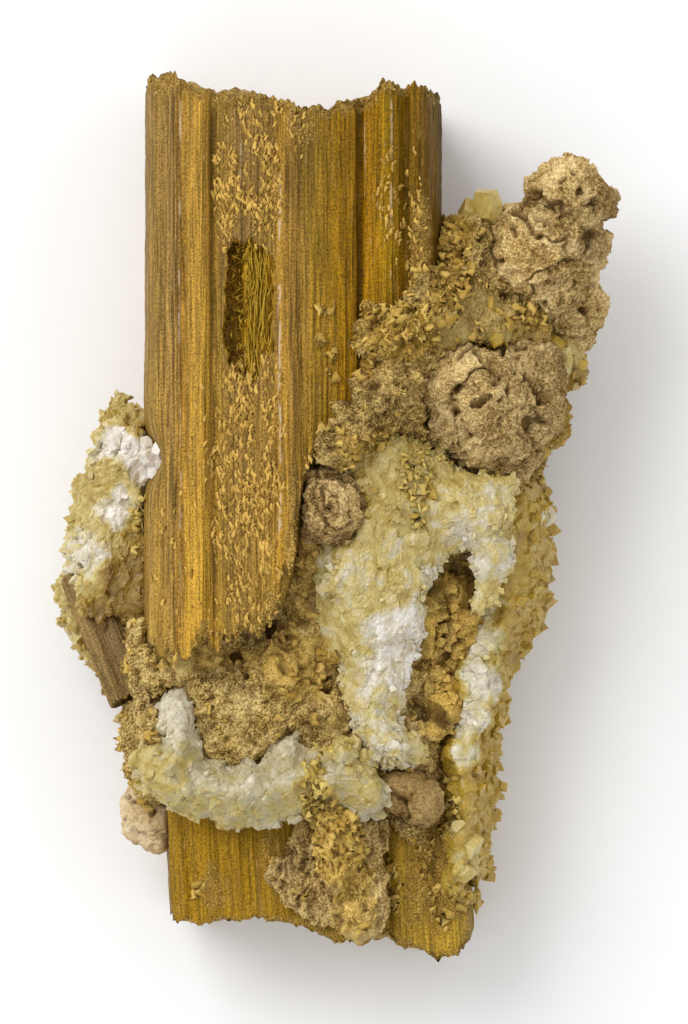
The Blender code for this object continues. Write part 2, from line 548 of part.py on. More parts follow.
def wrapped(obj, by):
    """The tight convex wrap of an object, standing proud of it by so many millimetres."""
    first = grown(obj, by)
    bm = bmesh.new()
    bm.from_mesh(first.data)
    made = bmesh.ops.convex_hull(bm, input=bm.verts)
    left_over = made["geom_interior"] + made["geom_unused"]
    spare = {item for item in left_over if isinstance(item, bmesh.types.BMVert)}
    bmesh.ops.delete(bm, geom=list(spare), context="VERTS")
    outer = {item for item in made["geom"] if isinstance(item, bmesh.types.BMFace)}
    bmesh.ops.delete(bm, geom=[face for face in bm.faces if face not in outer], context="FACES_ONLY")
    bpy.data.objects.remove(first, do_unlink=True)
    return new_object(obj.name + "_wrapped", bm)


def span(*objects):
    """The lowest and the highest corner of the box round some objects."""
    points = [vert.co for obj in objects for vert in obj.data.vertices]
    return [min(p[i] for p in points) for i in range(3)], [max(p[i] for p in points) for i in range(3)]


def boxes_meet(a, b, within):
    """Whether the bounding boxes of two objects come within a distance in millimetres."""
    (low_a, high_a), (low_b, high_b) = span(a), span(b)
    return all(low_a[i] - within * MM < high_b[i] and low_b[i] - within * MM < high_a[i] for i in range(3))


def island_volume(island):
    """The volume inside a set of faces, from the tetrahedra that they make with the origin."""
    total = 0.0
    for face in island:
        corners = [vert.co for vert in face.verts]
        for i in range(1, len(corners) - 1):
            total += corners[0].dot(corners[i].cross(corners[i + 1])) / 6
    return total


def keep_largest(obj):
    """Tidies the mesh after its cuts and drops the crumbs that they leave loose."""
    bm = bmesh.new()
    bm.from_mesh(obj.data)
    bmesh.ops.dissolve_limit(bm, angle_limit=FLAT_ENOUGH, verts=bm.verts, edges=bm.edges)
    bmesh.ops.triangulate(bm, faces=bm.faces)
    left = set(bm.faces)
    islands = []
    while left:
        island, front = set(), [left.pop()]
        while front:
            face = front.pop()
            island.add(face)
            for edge in face.edges:
                for other in edge.link_faces:
                    if other in left:
                        left.remove(other)
                        front.append(other)
        islands.append(island)
    islands.sort(key=island_volume)
    for island in islands[:-1]:
        bmesh.ops.delete(bm, geom=list(island), context="FACES")
    bmesh.ops.delete(bm, geom=[v for v in bm.verts if not v.link_faces], context="VERTS")
    bm.to_mesh(obj.data)
    bm.free()


def chip_edge(obj, chip):
    """Draws the wall in along a short stretch of an edge, where a flake has broken off."""
    for vert in obj.data.vertices:
        x, y = vert.co.x / MM, vert.co.y / MM
        near = max(0.0, 1 - abs(x - chip["x"]) / 1.2)
        vert.co.x += MM * chip["depth"] * near * math.exp(-(((y - chip["y"]) / chip["half_length"]) ** 2))


def make_main_prism():
    name, depth = "main_prism", PRISM_DEPTH
    obj = prism(name, MAIN_SECTION, MAIN_TOP, MAIN_FOOT, depth, MAIN_RINGS, 2, TOP_LEAN, FOOT_LEAN)
    chip_edge(obj, EDGE_CHIP)
    above = depth + 3.0
    boolean(obj, plug("slot_deep", SLOT_DEEP, SLOT_DEEP_FLOOR, above), "DIFFERENCE")
    boolean(obj, plug("slot_shallow", SLOT_SHALLOW, SLOT_SHALLOW_FLOOR, above + 0.5), "DIFFERENCE")
    return obj


def make_lower_prism():
    obj = prism("lower_prism", LOWER_SECTION, LOWER_TOP, LOWER_FOOT, LOWER_PRISM_DEPTH, (0.5,), 5)
    pivot = Matrix.Translation(Vector((-12.9, -31.0, 0)) * MM)
    obj.data.transform(pivot @ Matrix.Rotation(LOWER_PRISM_TURN, 4, "Z") @ pivot.inverted())
    return obj


def make_side_prism():
    ends = ((-2.0, SIDE_HALF_LENGTH), (2.0, SIDE_HALF_LENGTH - 0.8))
    feet = ((-2.0, -SIDE_HALF_LENGTH), (2.0, 0.6 - SIDE_HALF_LENGTH))
    obj = prism("side_prism", SIDE_SECTION, ends, feet, 3.0, (0.5,), 8, spacing=1.2)
    turned = Matrix.Rotation(SIDE_PRISM_TURN, 4, "Z") @ Matrix.Rotation(SIDE_DIVE, 4, "X")
    obj.data.transform(Matrix.Translation(Vector(SIDE_PLACE) * MM) @ turned)
    return obj


def make_crust(crust):
    obj = lens(crust)
    return fused(obj.name, [obj] + [crystal(place) for place in CRYSTALS.get(obj.name, ())])


def cut_clear(pieces):
    """Cuts each piece clear of all that stand before it in the list, and drops any loose crumbs."""
    for number, piece in enumerate(pieces):
        for other in pieces[:number]:
            if boxes_meet(piece, other, GAP):
                boolean(piece, (wrapped if other.name in ROUND_PIECES else grown)(other, GAP), "DIFFERENCE")
        keep_largest(piece)


def centre(pieces):
    """Puts the middle of the specimen over the origin and its lowest face on z = 0."""
    low, high = span(*pieces)
    shift = Matrix.Translation((-(low[0] + high[0]) / 2, -(low[1] + high[1]) / 2, -low[2]))
    for piece in pieces:
        piece.data.transform(shift)


def main():
    clear_scene()
    pieces = [
        make_main_prism(),
        make_lower_prism(),
        make_side_prism(),
        nodule("top_nodule", TOP_NODULE, 31),
        nodule("middle_nodule", MIDDLE_NODULE, 32),
        nodule("small_nodule", SMALL_NODULE, 33),
        nodule("lower_nodule", LOWER_NODULE, 34, dent=0.08),
        nodule("left_nodule", LEFT_NODULE, 35, dent=0.08),
    ]
    pieces += [make_crust(crust) for crust in CRUSTS]
    cut_clear(pieces)
    centre(pieces)
    for piece in pieces:
        piece.data.materials.clear()
        piece.data.materials.append(stone(piece.name))


main()
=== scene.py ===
"""The looks of a gibbsite pseudomorph: two silky, lengthwise-ribbed prisms, a small third one, and the
crumbly gibbsite, crystal crusts and porous nodules that grew round them.

Every piece is built on its solid from the frame, in millimetres, and is turned to metres at the end. Places
are written in millimetres in the frame's own axes: +X right, +Y up the long prism, +Z to the viewer.
"""

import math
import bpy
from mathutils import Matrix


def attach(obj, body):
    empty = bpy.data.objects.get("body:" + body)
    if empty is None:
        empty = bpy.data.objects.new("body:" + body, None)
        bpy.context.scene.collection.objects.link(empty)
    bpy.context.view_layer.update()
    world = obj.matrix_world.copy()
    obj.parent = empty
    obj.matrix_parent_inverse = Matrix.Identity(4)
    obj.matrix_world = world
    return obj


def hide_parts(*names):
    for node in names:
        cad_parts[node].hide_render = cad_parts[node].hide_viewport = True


bl_info = {
    "name": "Gibbsite Pseudomorph",
    "version": (1, 0, 0),
    "blender": (4, 5, 0),
    "location": "View3D > Sidebar > Mineral",
    "description": "Builds the fine surfaces and finishes of a gibbsite pseudomorph on its plain solids",
    "category": "Add Mesh",
}

from functools import partial

import bmesh
import bpy
import numpy as np
from mathutils import Euler, Matrix, Vector
from mathutils.bvhtree import BVHTree
from mathutils.geometry import delaunay_2d_cdt

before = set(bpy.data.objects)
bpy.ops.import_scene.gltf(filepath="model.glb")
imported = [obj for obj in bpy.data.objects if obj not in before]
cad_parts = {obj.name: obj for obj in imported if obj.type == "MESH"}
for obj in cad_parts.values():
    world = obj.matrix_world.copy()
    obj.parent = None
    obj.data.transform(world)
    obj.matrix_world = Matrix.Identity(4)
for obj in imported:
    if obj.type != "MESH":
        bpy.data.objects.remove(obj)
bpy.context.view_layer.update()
MM = 0.001

# Streaks of colour across the long prism, from its left edge to its right, as (x, colour).
# The stops from x = 6.2 on, where the front turns away from the lamp, are darker in part as painted shade.
MAIN_BANDS = (
    (-15.0, "#8D6E32"), (-13.6, "#8F7034"), (-12.5, "#93733C"), (-11.7, "#A57F32"), (-10.4, "#AC8432"),
    (-9.7, "#977326"), (-9.0, "#8A6C2C"), (-7.6, "#886A36"), (-5.0, "#886A2E"), (-4.2, "#9E782B"),
    (-3.2, "#8C6A2D"), (-1.6, "#8B6B1C"), (0.2, "#8A6505"), (1.6, "#845F02"), (2.8, "#946800"),
    (4.2, "#927008"), (5.2, "#805D02"), (6.2, "#745405"), (7.6, "#6C4D02"),
)
LOWER_BANDS = (
    (-13.8, "#8A6911"), (-12.0, "#9A7414"), (-9.0, "#A07A18"), (-6.0, "#967217"), (-3.0, "#8E6D1A"),
    (0.0, "#977922"), (3.0, "#9A7B26"), (5.0, "#9E7D2A"), (8.0, "#B08E36"), (10.6, "#9A7B26"),
)
SIDE_BANDS = ((-1.8, "#80653B"), (-0.8, "#8E7450"), (0.0, "#705A3B"), (0.8, "#826A49"), (1.8, "#604A2E"))

# What the crystals of the crusts look like, from the least pale to the palest, as (paleness, colour).
PALE_TONES = (
    (0.0, "#785A1E"), (0.18, "#96762E"), (0.36, "#AE903E"), (0.5, "#B9A258"), (0.64, "#CCBA76"),
    (0.8, "#D0C6A9"), (1.0, "#ECE6DD"),
)
GREY_TONES = (
    (0.0, "#7C6428"), (0.5, "#B49E50"), (0.6, "#C2B06A"), (0.7, "#BCAE7E"), (0.8, "#BEB28E"),
    (1.0, "#DCD4BE"),
)
OLIVE_TONES = (
    (0.0, "#6C4E10"), (0.2, "#947424"), (0.4, "#B29230"), (0.56, "#BC9E40"), (0.7, "#C6B46C"),
    (0.85, "#D2C8A2"), (1.0, "#E6DECE"),
)

# How each crystal crust is built: the size of its crystals, how rough they make its face, how long they are
# along each axis, how lobed it is, how thickly teeth grow on its rim, and its paleness with patches of
# (x, y, radius, paleness). Yellow crumbs grow on it in some places, and its rim swells out or is trimmed back
# in others, each as (x, y, half width, half height, share).
CRUSTS = {
    "fin_crystal_crust": {
        "slot": "pale_crystals", "seed": 41, "crystal": 0.62, "rough": 0.44, "long": (0.9, 1.3, 0.8),
        "lobes": 0.15, "teeth": 0.8, "pale": 0.6,
        "crumbs": (
            (6.2, 3.6, 1.6, 2.0, 1.0), (6.6, 0.6, 0.8, 1.8, 0.8), (-0.6, 5.4, 1.2, 0.8, 1.0),
            (9.4, 5.4, 2.2, 1.0, 0.7), (3.0, 6.2, 1.0, 1.0, 1.0), (12.8, 4.4, 1.4, 1.4, 0.4),
            (4.4, -1.8, 0.8, 0.6, 0.25),
        ),
        "trimmed": ((8.2, -7.4, 1.6, 2.6, 1.0),),
        "patches": (
            (5.0, -9.0, 2.6, 0.92), (4.2, -12.5, 3.0, 0.88), (3.8, -17.0, 3.4, 0.73), (7.6, -4.6, 1.2, 0.82),
            (10.6, 0.4, 3.0, 0.75), (12.4, -2.8, 2.2, 0.8), (5.0, 2.8, 3.6, 0.5), (2.4, 4.0, 2.8, 0.47),
            (3.6, -14.2, 1.2, 0.68), (9.4, 2.6, 2.0, 0.6), (0.4, -4.6, 3.0, 0.66), (3.4, -19.0, 1.4, 0.74),
        ),
    },
    "bottom_crystal_crust": {
        "slot": "pale_crystals", "seed": 42, "crystal": 1.0, "rough": 0.3, "long": (1.0, 1.0, 1.0),
        "lobes": 0.24, "teeth": 0.25, "pale": 0.8,
        "crumbs": ((-1.5, -21.2, 1.2, 2.6, 1.0), (-0.6, -18.2, 1.2, 0.6, 0.2)),
        "patches": (
            (-14.2, -19.6, 2.8, 0.6), (-8.0, -23.2, 2.0, 0.64), (-4.6, -22.4, 1.8, 0.62),
            (-12.0, -15.2, 2.0, 0.98), (1.8, -20.6, 2.0, 0.64), (0.2, -17.6, 1.4, 0.58),
            (-3.4, -18.4, 1.6, 0.82), (-11.4, -22.4, 1.6, 0.6), (-1.4, -17.2, 1.2, 0.6),
            (-1.4, -21.6, 1.7, 0.0),
        ),
    },
    "left_crystal_crust": {
        "slot": "pale_crystals", "seed": 43, "crystal": 0.8, "rough": 0.5, "long": (1.0, 1.2, 1.0),
        "lobes": 0.45, "teeth": 0.2, "pale": 0.58,
        "crumbs": ((-15.4, 0.6, 0.8, 1.6, 0.5), (-15.8, -3.4, 1.0, 1.8, 0.3)),
        "patches": (
            (-17.3, 5.8, 1.9, 1.0), (-14.6, 4.7, 2.0, 1.1), (-17.2, 1.2, 1.8, 0.88), (-19.6, -3.2, 2.4, 0.84),
            (-17.6, 9.0, 1.8, 0.48), (-18.8, 2.8, 1.8, 0.47), (-16.2, 7.8, 0.8, 0.3), (-15.2, -1.2, 1.8, 0.3),
            (-17.0, -8.5, 4.0, 0.2), (-16.4, -4.4, 2.2, 0.22), (-16.6, -12.5, 3.2, 0.16),
            (-21.6, -7.8, 1.4, 0.4),
        ),
    },
    "right_crystal_crust": {
        "slot": "olive_crystals", "seed": 44, "crystal": 0.95, "rough": 0.3, "long": (1.2, 0.9, 1.0),
        "lobes": 0.24, "teeth": 0.25, "pale": 0.44,
        "swell": ((10.8, -10.0, 1.4, 6.0, 0.8),),
        "crumbs": ((9.0, -22.6, 1.2, 2.2, 0.4), (8.6, -29.6, 1.6, 1.6, 0.4), (16.2, 3.6, 1.0, 0.8, 0.7)),
        "patches": (
            (11.8, -6.6, 1.7, 0.86), (11.8, -9.6, 1.8, 0.9), (11.4, -12.6, 1.8, 0.96),
            (10.8, -15.6, 1.8, 0.94), (10.2, -18.4, 1.4, 0.82), (12.2, -2.6, 1.6, 0.8),
            (10.6, -27.6, 1.5, 0.66), (9.8, -24.0, 1.5, 0.6), (16.8, 0.4, 0.7, 0.86),
            (8.8, -31.0, 2.0, 0.4), (15.0, -3.0, 2.6, 0.46),
        ),
    },
}

# The large single crystals on each piece, as (x, y, z where nothing lies below, size, paleness).
LARGE_CRYSTALS = {
    "left_crystal_crust": (
        (-14.6, 4.9, 13.8, 1.0, 1.1), (-14.3, 3.7, 13.6, 0.8, 1.1), (-14.9, 6.0, 13.0, 0.7, 1.0),
        (-17.2, 6.4, 9.0, 0.8, 1.0), (-14.0, 5.5, 14.2, 0.7, 1.1), (-13.9, 4.3, 14.0, 0.6, 1.1),
    ),
    "right_crystal_crust": (
        (16.9, 0.2, 9.0, 0.8, 0.9), (10.6, -26.0, 9.0, 1.0, 0.66), (10.0, -27.8, 9.0, 1.1, 0.62),
        (9.6, -24.4, 9.0, 0.7, 0.7),
    ),
    "bottom_crystal_crust": (
        (-14.4, -19.4, 16.0, 0.9, 0.62), (2.2, -18.8, 16.0, 1.0, 0.76), (1.4, -17.6, 16.0, 0.8, 0.7),
    ),
    # On the upper crust, the crystals at x = 17.5 are paler in part as painted light, where the nodules shade
    # them.
    "upper_gibbsite_crust": (
        (12.0, 24.6, 14.0, 1.6, 0.56), (10.4, 24.2, 14.0, 0.9, 0.5), (18.4, 11.2, 10.0, 1.4, 0.46),
        (18.2, 13.4, 10.0, 1.3, 0.48), (17.5, 14.8, 11.0, 1.8, 0.72), (17.5, 12.2, 11.0, 1.7, 0.7),
    ),
}

# How each granular or crumbly piece is built, on faces of the given size. Curls of fibre grow a given
# distance apart and up to a given size. The cells are the hollows of its boxwork, in millimetres across and
# in depth, stretched along Y and deepest in the open patches. Coarse is the height of its lumps, and ribbed
# is how far its yellow patches stand above the rest. The holes are (x, y, radius, depth). The other patches
# are (x, y, half width, half height, share): where it is yellow, where chips and clumps of grains grow, where
# its face swells out, and where it is crystalline.
CRUMBLY = {
    "crumbly_gibbsite": {
        "slot": "crumbly_gibbsite", "seed": 51, "face": 0.19, "curls": 0.42, "curl": 0.26,
        "cell": 1.25, "depth": 0.85, "stretch": 1.0, "ribbed": 0.0, "coarse": 0.35,
        "open": ((8.2, -9.6, 2.8, 7.4, 1.0), (-5.0, -12.2, 4.5, 1.4, 0.2), (-14.2, -14.5, 1.8, 4.5, 0.6)),
        "holes": (
            (-5.0, -9.0, 0.9, 1.1), (-7.6, -10.9, 0.7, 1.0), (-6.9, -12.2, 0.7, 1.2),
            (-13.6, -14.2, 0.9, 1.4), (-0.6, -13.4, 0.6, 0.9), (7.4, -5.2, 0.8, 1.6), (8.2, -12.6, 0.7, 1.3),
            (-15.2, -18.0, 0.8, 1.2), (7.6, -8.4, 0.7, 1.3), (7.0, -15.4, 0.8, 1.4), (0.4, -11.0, 0.6, 1.2),
        ),
        "yellow": (
            (-2.4, -11.4, 3.4, 2.8, 0.9), (-3.0, -4.0, 1.6, 5.0, 0.5), (-10.0, -11.0, 4.0, 1.0, 0.8),
            (8.4, -9.6, 3.0, 8.0, 1.0),
        ),
        "chips": ((-2.0, -11.4, 3.0, 2.6, 0.25), (0.0, 0.0, 60.0, 60.0, 0.05)),
        "clumps": (
            (9.0, -11.0, 1.6, 5.0, 1.0), (9.8, -18.0, 1.0, 3.0, 0.8), (-2.4, -2.0, 1.2, 5.6, 0.6),
            (-14.4, -12.4, 1.4, 2.4, 0.5), (1.0, -12.6, 1.2, 4.0, 0.3), (0.6, -15.0, 1.6, 1.2, 0.9),
        ),
        "swell": (
            (8.4, -11.0, 2.8, 7.0, 1.2), (9.6, -18.0, 1.6, 4.0, 0.8), (-2.6, -2.4, 1.4, 6.0, 0.8),
            (-2.6, -10.8, 3.0, 3.0, 1.3),
        ),
        "crystals": (
            (-3.0, -13.0, 0.9, 0.9, 0.5), (-11.8, -11.0, 0.8, 0.9, 0.8), (-0.2, -15.8, 1.4, 1.2, 0.5),
        ),
    },
    "upper_gibbsite_crust": {
        "slot": "granular_crust", "seed": 52, "face": 0.17, "curls": 0.5, "curl": 0.26,
        "cell": 1.0, "depth": 0.6, "stretch": 1.0, "ribbed": 0.2, "coarse": 0.6,
        "open": ((4.6, 9.4, 2.8, 3.2, 0.15), (10.0, 22.0, 2.2, 2.2, 0.8), (7.4, 15.6, 4.0, 3.0, 0.5)),
        "holes": (
            (12.6, 21.4, 0.7, 1.2), (10.2, 19.0, 0.7, 1.2), (3.0, 10.4, 0.6, 0.8), (13.2, 17.6, 0.6, 0.8),
        ),
        "yellow": (
            (5.4, 14.8, 3.4, 2.2, 1.0), (9.4, 22.4, 1.4, 3.0, 1.0), (8.4, 18.0, 1.6, 2.0, 0.8),
            (3.4, 5.2, 3.4, 2.0, 0.7), (17.4, 8.4, 1.4, 2.4, 1.0), (15.4, 15.0, 2.6, 2.0, 0.6),
        ),
        "chips": (
            (5.2, 15.2, 2.6, 1.8, 1.0), (3.6, 14.0, 1.8, 1.6, 1.0), (8.2, 17.0, 1.5, 2.0, 1.0),
            (14.8, 15.6, 1.4, 1.2, 1.0), (9.6, 20.6, 1.2, 3.4, 0.7), (2.6, 5.6, 2.4, 1.6, 0.7),
            (6.2, 4.8, 1.6, 1.2, 0.7), (17.2, 8.0, 1.0, 1.4, 0.8), (0.0, 0.0, 60.0, 60.0, 0.05),
        ),
        "clumps": ((1.6, 8.6, 1.0, 3.4, 0.7), (8.6, 20.6, 0.8, 4.0, 0.7), (2.0, 4.4, 2.4, 0.8, 0.5)),
        "swell": ((1.4, 8.6, 1.4, 4.0, 0.5), (2.0, 4.4, 3.0, 1.0, 0.5), (17.6, 13.6, 2.2, 3.0, 0.7)),
        "crystals": (
            (12.0, 24.6, 1.4, 1.4, 1.0), (11.6, 16.4, 2.2, 2.0, 0.4), (9.0, 14.8, 1.6, 1.4, 0.8),
            (17.8, 13.0, 2.0, 3.0, 1.0), (3.8, 4.4, 3.4, 1.6, 0.8), (13.6, 14.2, 2.4, 1.0, 0.8),
            (10.4, 24.0, 1.0, 0.8, 0.8), (16.6, 7.6, 1.4, 2.4, 0.7),
        ),
    },
    "gibbsite_drape": {
        "slot": "granular_crust", "seed": 53, "face": 0.15, "curls": 0.34, "curl": 0.17,
        "cell": 0.75, "depth": 0.42, "stretch": 2.4, "ribbed": 0.7, "coarse": 0.35,
        "open": ((-3.0, -27.6, 2.4, 2.6, 0.8), (0.6, -27.0, 2.2, 6.4, 0.3)),
        "holes": ((-2.6, -27.0, 0.4, 0.6), (-4.0, -29.0, 0.4, 0.5)),
        "yellow": ((-0.9, -22.0, 1.7, 2.6, 1.0), (0.3, -26.0, 1.8, 3.4, 1.0), (1.4, -30.4, 1.9, 3.4, 0.5)),
        "chips": ((0.0, -24.0, 1.8, 4.6, 1.0), (1.4, -29.4, 1.8, 4.0, 0.4), (-3.4, -28.0, 2.0, 2.6, 0.08)),
        "clumps": ((3.2, -23.0, 1.0, 1.6, 0.6),),
        "swell": ((-0.6, -22.8, 1.2, 2.2, 1.1), (0.4, -26.0, 1.4, 3.4, 1.1)),
        "crystals": ((-3.4, -24.6, 1.2, 0.7, 0.6), (2.0, -32.6, 1.4, 0.7, 0.5)),
    },
}

# How each nodule is built, on faces of the given size: the height of its curled ridges, how spongy it is,
# its fine grain, its larger holes as (x, y, radius, depth), and its folds, arcs of (x, y, radius, first and
# last angle in degrees, depth). A nodule may also have a pale skin, lighter in part as a painted pool of
# light, patches of painted shade where it turns from the lamp, and dusty fibres, all in patches of (x, y,
# half width, half height, share).
NODULES = {
    "top_nodule": {
        "slot": "brown_nodule", "seed": 61, "face": 0.12, "curl": 0.34, "sponge": 0.0, "grain": 0.08,
        "pale_skin_and_light": ((15.2, 20.6, 2.6, 2.6, 1.0), (17.6, 26.6, 2.4, 1.4, 0.1)),
        "painted_shade": ((21.8, 24.4, 1.0, 1.8, 0.9), (20.2, 21.6, 1.3, 1.6, 0.6), (17.6, 24.2, 1.4, 0.6, 0.5)),
        "fibrous": ((17.8, 18.0, 3.0, 3.6, 0.5),),
        "holes": (
            (13.4, 25.3, 0.5, 0.9), (14.8, 25.6, 0.45, 0.8), (15.9, 25.2, 0.5, 0.9), (14.2, 22.6, 0.3, 0.6),
            (16.2, 21.8, 0.35, 0.6), (20.2, 24.6, 0.3, 0.5), (13.0, 20.4, 0.35, 0.7), (18.6, 18.4, 0.4, 0.5),
        ),
        "folds": (
            (15.4, 23.2, 2.5, 10, 170, 0.8), (15.6, 23.4, 1.7, -10, 150, 0.6),
            (15.6, 23.6, 1.0, 20, 200, 0.5), (17.6, 25.0, 3.0, 200, 290, 0.5),
            (18.0, 18.0, 2.4, 60, 200, 0.5),
        ),
    },
    "middle_nodule": {
        "slot": "brown_nodule", "seed": 62, "face": 0.12, "curl": 0.36, "sponge": 0.0, "grain": 0.09,
        "pale_skin_and_light": ((9.6, 11.4, 2.6, 2.4, 0.8),),
        "fibrous": ((15.0, 6.6, 4.0, 4.4, 0.4),),
        "holes": (
            (9.7, 10.3, 0.6, 1.4), (12.3, 10.5, 0.35, 0.8), (9.6, 8.5, 0.4, 0.8), (13.4, 9.8, 0.5, 0.7),
            (11.2, 12.4, 0.4, 0.5), (15.6, 5.6, 0.5, 0.7), (12.4, 5.0, 0.35, 0.5), (14.8, 7.4, 0.4, 0.6),
        ),
        "folds": (
            (11.0, 9.6, 2.0, 30, 220, 0.5), (12.6, 10.4, 3.4, 60, 150, 0.5), (14.2, 9.6, 1.4, -60, 100, 0.5),
            (12.0, 7.4, 3.4, 190, 260, 0.5),
        ),
    },
    "small_nodule": {
        "slot": "brown_nodule", "seed": 63, "face": 0.1, "curl": 0.4, "sponge": 0.1, "grain": 0.09,
        "pale_skin_and_light": ((-0.4, 1.4, 2.6, 2.6, 0.6),),
        "fibrous": ((0.0, 0.0, 60.0, 60.0, 0.9),),
        "holes": ((-0.6, 0.6, 0.4, 0.7), (0.9, 2.4, 0.25, 0.5), (-1.4, 2.6, 0.3, 0.5)),
        "folds": ((-0.2, 1.2, 0.8, 20, 330, 0.4), (-0.1, 1.3, 1.5, 100, 380, 0.45)),
    },
    "lower_nodule": {
        "slot": "brown_nodule", "seed": 64, "face": 0.1, "curl": 0.03, "sponge": -1.0, "grain": 0.06,
        "folds": ((4.0, -23.4, 1.9, -20, 100, 0.5),),
    },
    "left_nodule": {
        "slot": "pinkish_nodule", "seed": 65, "face": 0.1, "curl": 0.08, "sponge": -0.6, "grain": 0.05,
        "holes": ((-14.6, -23.2, 0.3, 0.5), (-16.0, -22.4, 0.25, 0.4)),
        "folds": ((-15.4, -24.6, 1.2, 100, 260, 0.3),),
    },
}

# How each prism is built: its own axis, where its section is taken as a share of its length, how far apart
# its points are on the front, the sides, the back and along it, how ragged its two ends are, how wide its
# broken rims are, and where its upper rim is worn down, as (x, half width, depth). A prism may have a smooth
# band from x to x, a chip out of its left edge as (x, y, depth, half length), a window that lies within a
# distance of its middle line, and single ribs and grooves as (x, lowest y, highest y, half width, height).
# Flakes, crumbs and small grains grow on it in patches of (x, y, half width, half height, how thickly).
# The sharpest single ribs get a painted highlight, and the deepest single grooves painted shade.
PRISMS = {
    "main_prism": {
        "slot": "striated_prism", "seed": 2, "turn": 0.0, "dive": 0.0, "cut": 0.85,
        "steps": (0.085, 0.36, 0.6), "row": 0.29, "front": 3.6, "ragged": (0.6, 1.4), "rim": 0.9, "ribs": 1.0,
        "worn": ((-14.8, 1.3, 0.65),), "smooth": (-11.6, -9.7), "chip": (-14.8, 4.8, 1.2, 1.7), "window": 9.0,
        "lines": (
            (-12.1, -8.0, 33.0, 0.16, 0.2), (-12.6, -9.0, 33.0, 0.1, -0.16), (-11.75, -6.0, 24.0, 0.1, -0.14),
            (-9.5, 12.0, 32.0, 0.13, -0.22), (-9.4, -8.0, 10.0, 0.1, -0.14), (-7.35, 20.0, 31.0, 0.14, 0.16),
            (-4.3, -4.0, 27.0, 0.22, 0.2), (-3.7, -4.0, 30.0, 0.12, -0.14), (1.95, 10.0, 33.0, 0.1, -0.3),
            (2.35, 12.0, 33.0, 0.1, 0.14), (4.35, 14.0, 33.0, 0.14, 0.16), (5.5, 12.0, 33.0, 0.18, -0.3),
            (-13.4, -9.0, 30.0, 0.12, -0.12), (-0.5, 5.0, 30.0, 0.14, -0.1), (0.7, 8.0, 32.0, 0.14, 0.1),
        ),
        "flakes": (
            (-8.4, 25.4, 1.1, 4.6, 1.0), (-5.7, 25.8, 1.7, 4.6, 1.0), (-6.8, 3.0, 2.9, 9.0, 1.0),
            (4.2, 24.6, 0.9, 5.4, 0.5), (6.1, 21.6, 0.8, 7.6, 0.35), (-6.6, 31.4, 3.0, 1.6, 0.4),
            (-2.9, 30.6, 1.0, 2.4, 0.3), (-6.4, 11.0, 2.2, 1.6, 0.8), (-12.2, -4.0, 2.6, 6.6, 0.08),
            (-7.0, -7.6, 3.0, 2.6, 0.35), (-1.6, 2.6, 1.0, 3.0, 0.4), (-10.6, 4.0, 0.8, 9.0, 0.1),
        ),
        "crumbs": (
            (3.6, 14.8, 1.7, 1.8, 1.0), (6.8, 19.2, 1.3, 1.3, 1.0), (5.0, 12.4, 2.4, 1.6, 0.8),
            (-0.6, 12.2, 0.9, 4.6, 0.14), (6.6, 15.4, 1.6, 4.0, 0.5), (-1.1, 16.3, 0.35, 0.35, 1.0),
            (-1.2, 13.9, 0.5, 0.5, 1.0), (-0.2, 12.8, 0.45, 0.45, 1.0), (2.6, 16.6, 0.5, 0.4, 1.0),
        ),
        "grains": (
            (-6.4, 33.6, 3.2, 1.6, 1.0), (-2.6, 31.0, 1.2, 2.4, 0.9), (6.2, 13.6, 2.2, 4.6, 0.9),
            (3.6, 11.4, 2.0, 2.6, 0.8), (-4.4, -8.0, 3.0, 2.4, 0.9), (-0.8, -5.0, 1.6, 3.0, 0.9),
            (6.8, 21.4, 0.9, 4.0, 0.8), (-3.2, -2.0, 0.7, 5.5, 0.9), (4.2, 34.0, 1.6, 0.9, 0.8),
            (-13.4, 33.9, 1.6, 0.9, 0.6),
        ),
    },
    "lower_prism": {
        "slot": "striated_prism", "seed": 12, "turn": 3.2, "dive": 0.0, "cut": 0.45,
        "steps": (0.12, 0.45, 0.8), "row": 0.3, "front": 2.4, "ragged": (0.2, 0.45), "rim": 0.5, "ribs": 0.75,
        "crumbs": (
            (6.8, -25.8, 1.1, 2.4, 0.9), (8.4, -30.6, 1.0, 1.6, 0.4), (4.6, -29.0, 0.7, 2.4, 0.5),
            (-10.6, -28.8, 0.7, 1.4, 0.4),
        ),
        "grains": (
            (7.4, -24.0, 2.8, 4.0, 1.0), (6.6, -29.4, 3.0, 4.0, 0.9), (-11.4, -28.6, 1.0, 2.2, 0.6),
            (-3.6, -32.4, 3.0, 1.0, 0.7), (9.8, -31.4, 2.0, 3.4, 0.9), (-6.4, -26.8, 1.2, 2.4, 0.5),
        ),
    },
    "side_prism": {
        "slot": "dark_prism", "seed": 22, "turn": 22.0, "dive": -13.0, "cut": 0.5,
        "steps": (0.1, 0.12, 0.2), "row": 0.22, "front": 1.5, "ragged": (0.3, 0.3), "rim": 0.4, "ribs": 1.0,
    },
}


def linear(code):
    """Linear RGBA of an sRGB hex code."""
    channels = [int(code[i : i + 2], 16) / 255 for i in (1, 3, 5)]
    return [c / 12.92 if c <= 0.04045 else ((c + 0.055) / 1.055) ** 2.4 for c in channels] + [1.0]


# Noise over arrays of points, in millimetres.

# Further, in cells, than the nearest seed can be from a point.
FAR = 9.0


def hashed(cells, seed):
    """A number from 0 to 1 for each whole-numbered cell."""
    mixed = cells[:, 0] * 73856093 ^ cells[:, 1] * 19349663 ^ cells[:, 2] * 83492791 ^ (seed * 7919 + 17)
    for _ in range(2):
        mixed = ((mixed & 0xFFFFFFFF) ^ ((mixed & 0xFFFFFFFF) >> 16)) * 0x45D9F3B
    mixed &= 0xFFFFFFFF
    return (mixed ^ (mixed >> 16)) / 2**32


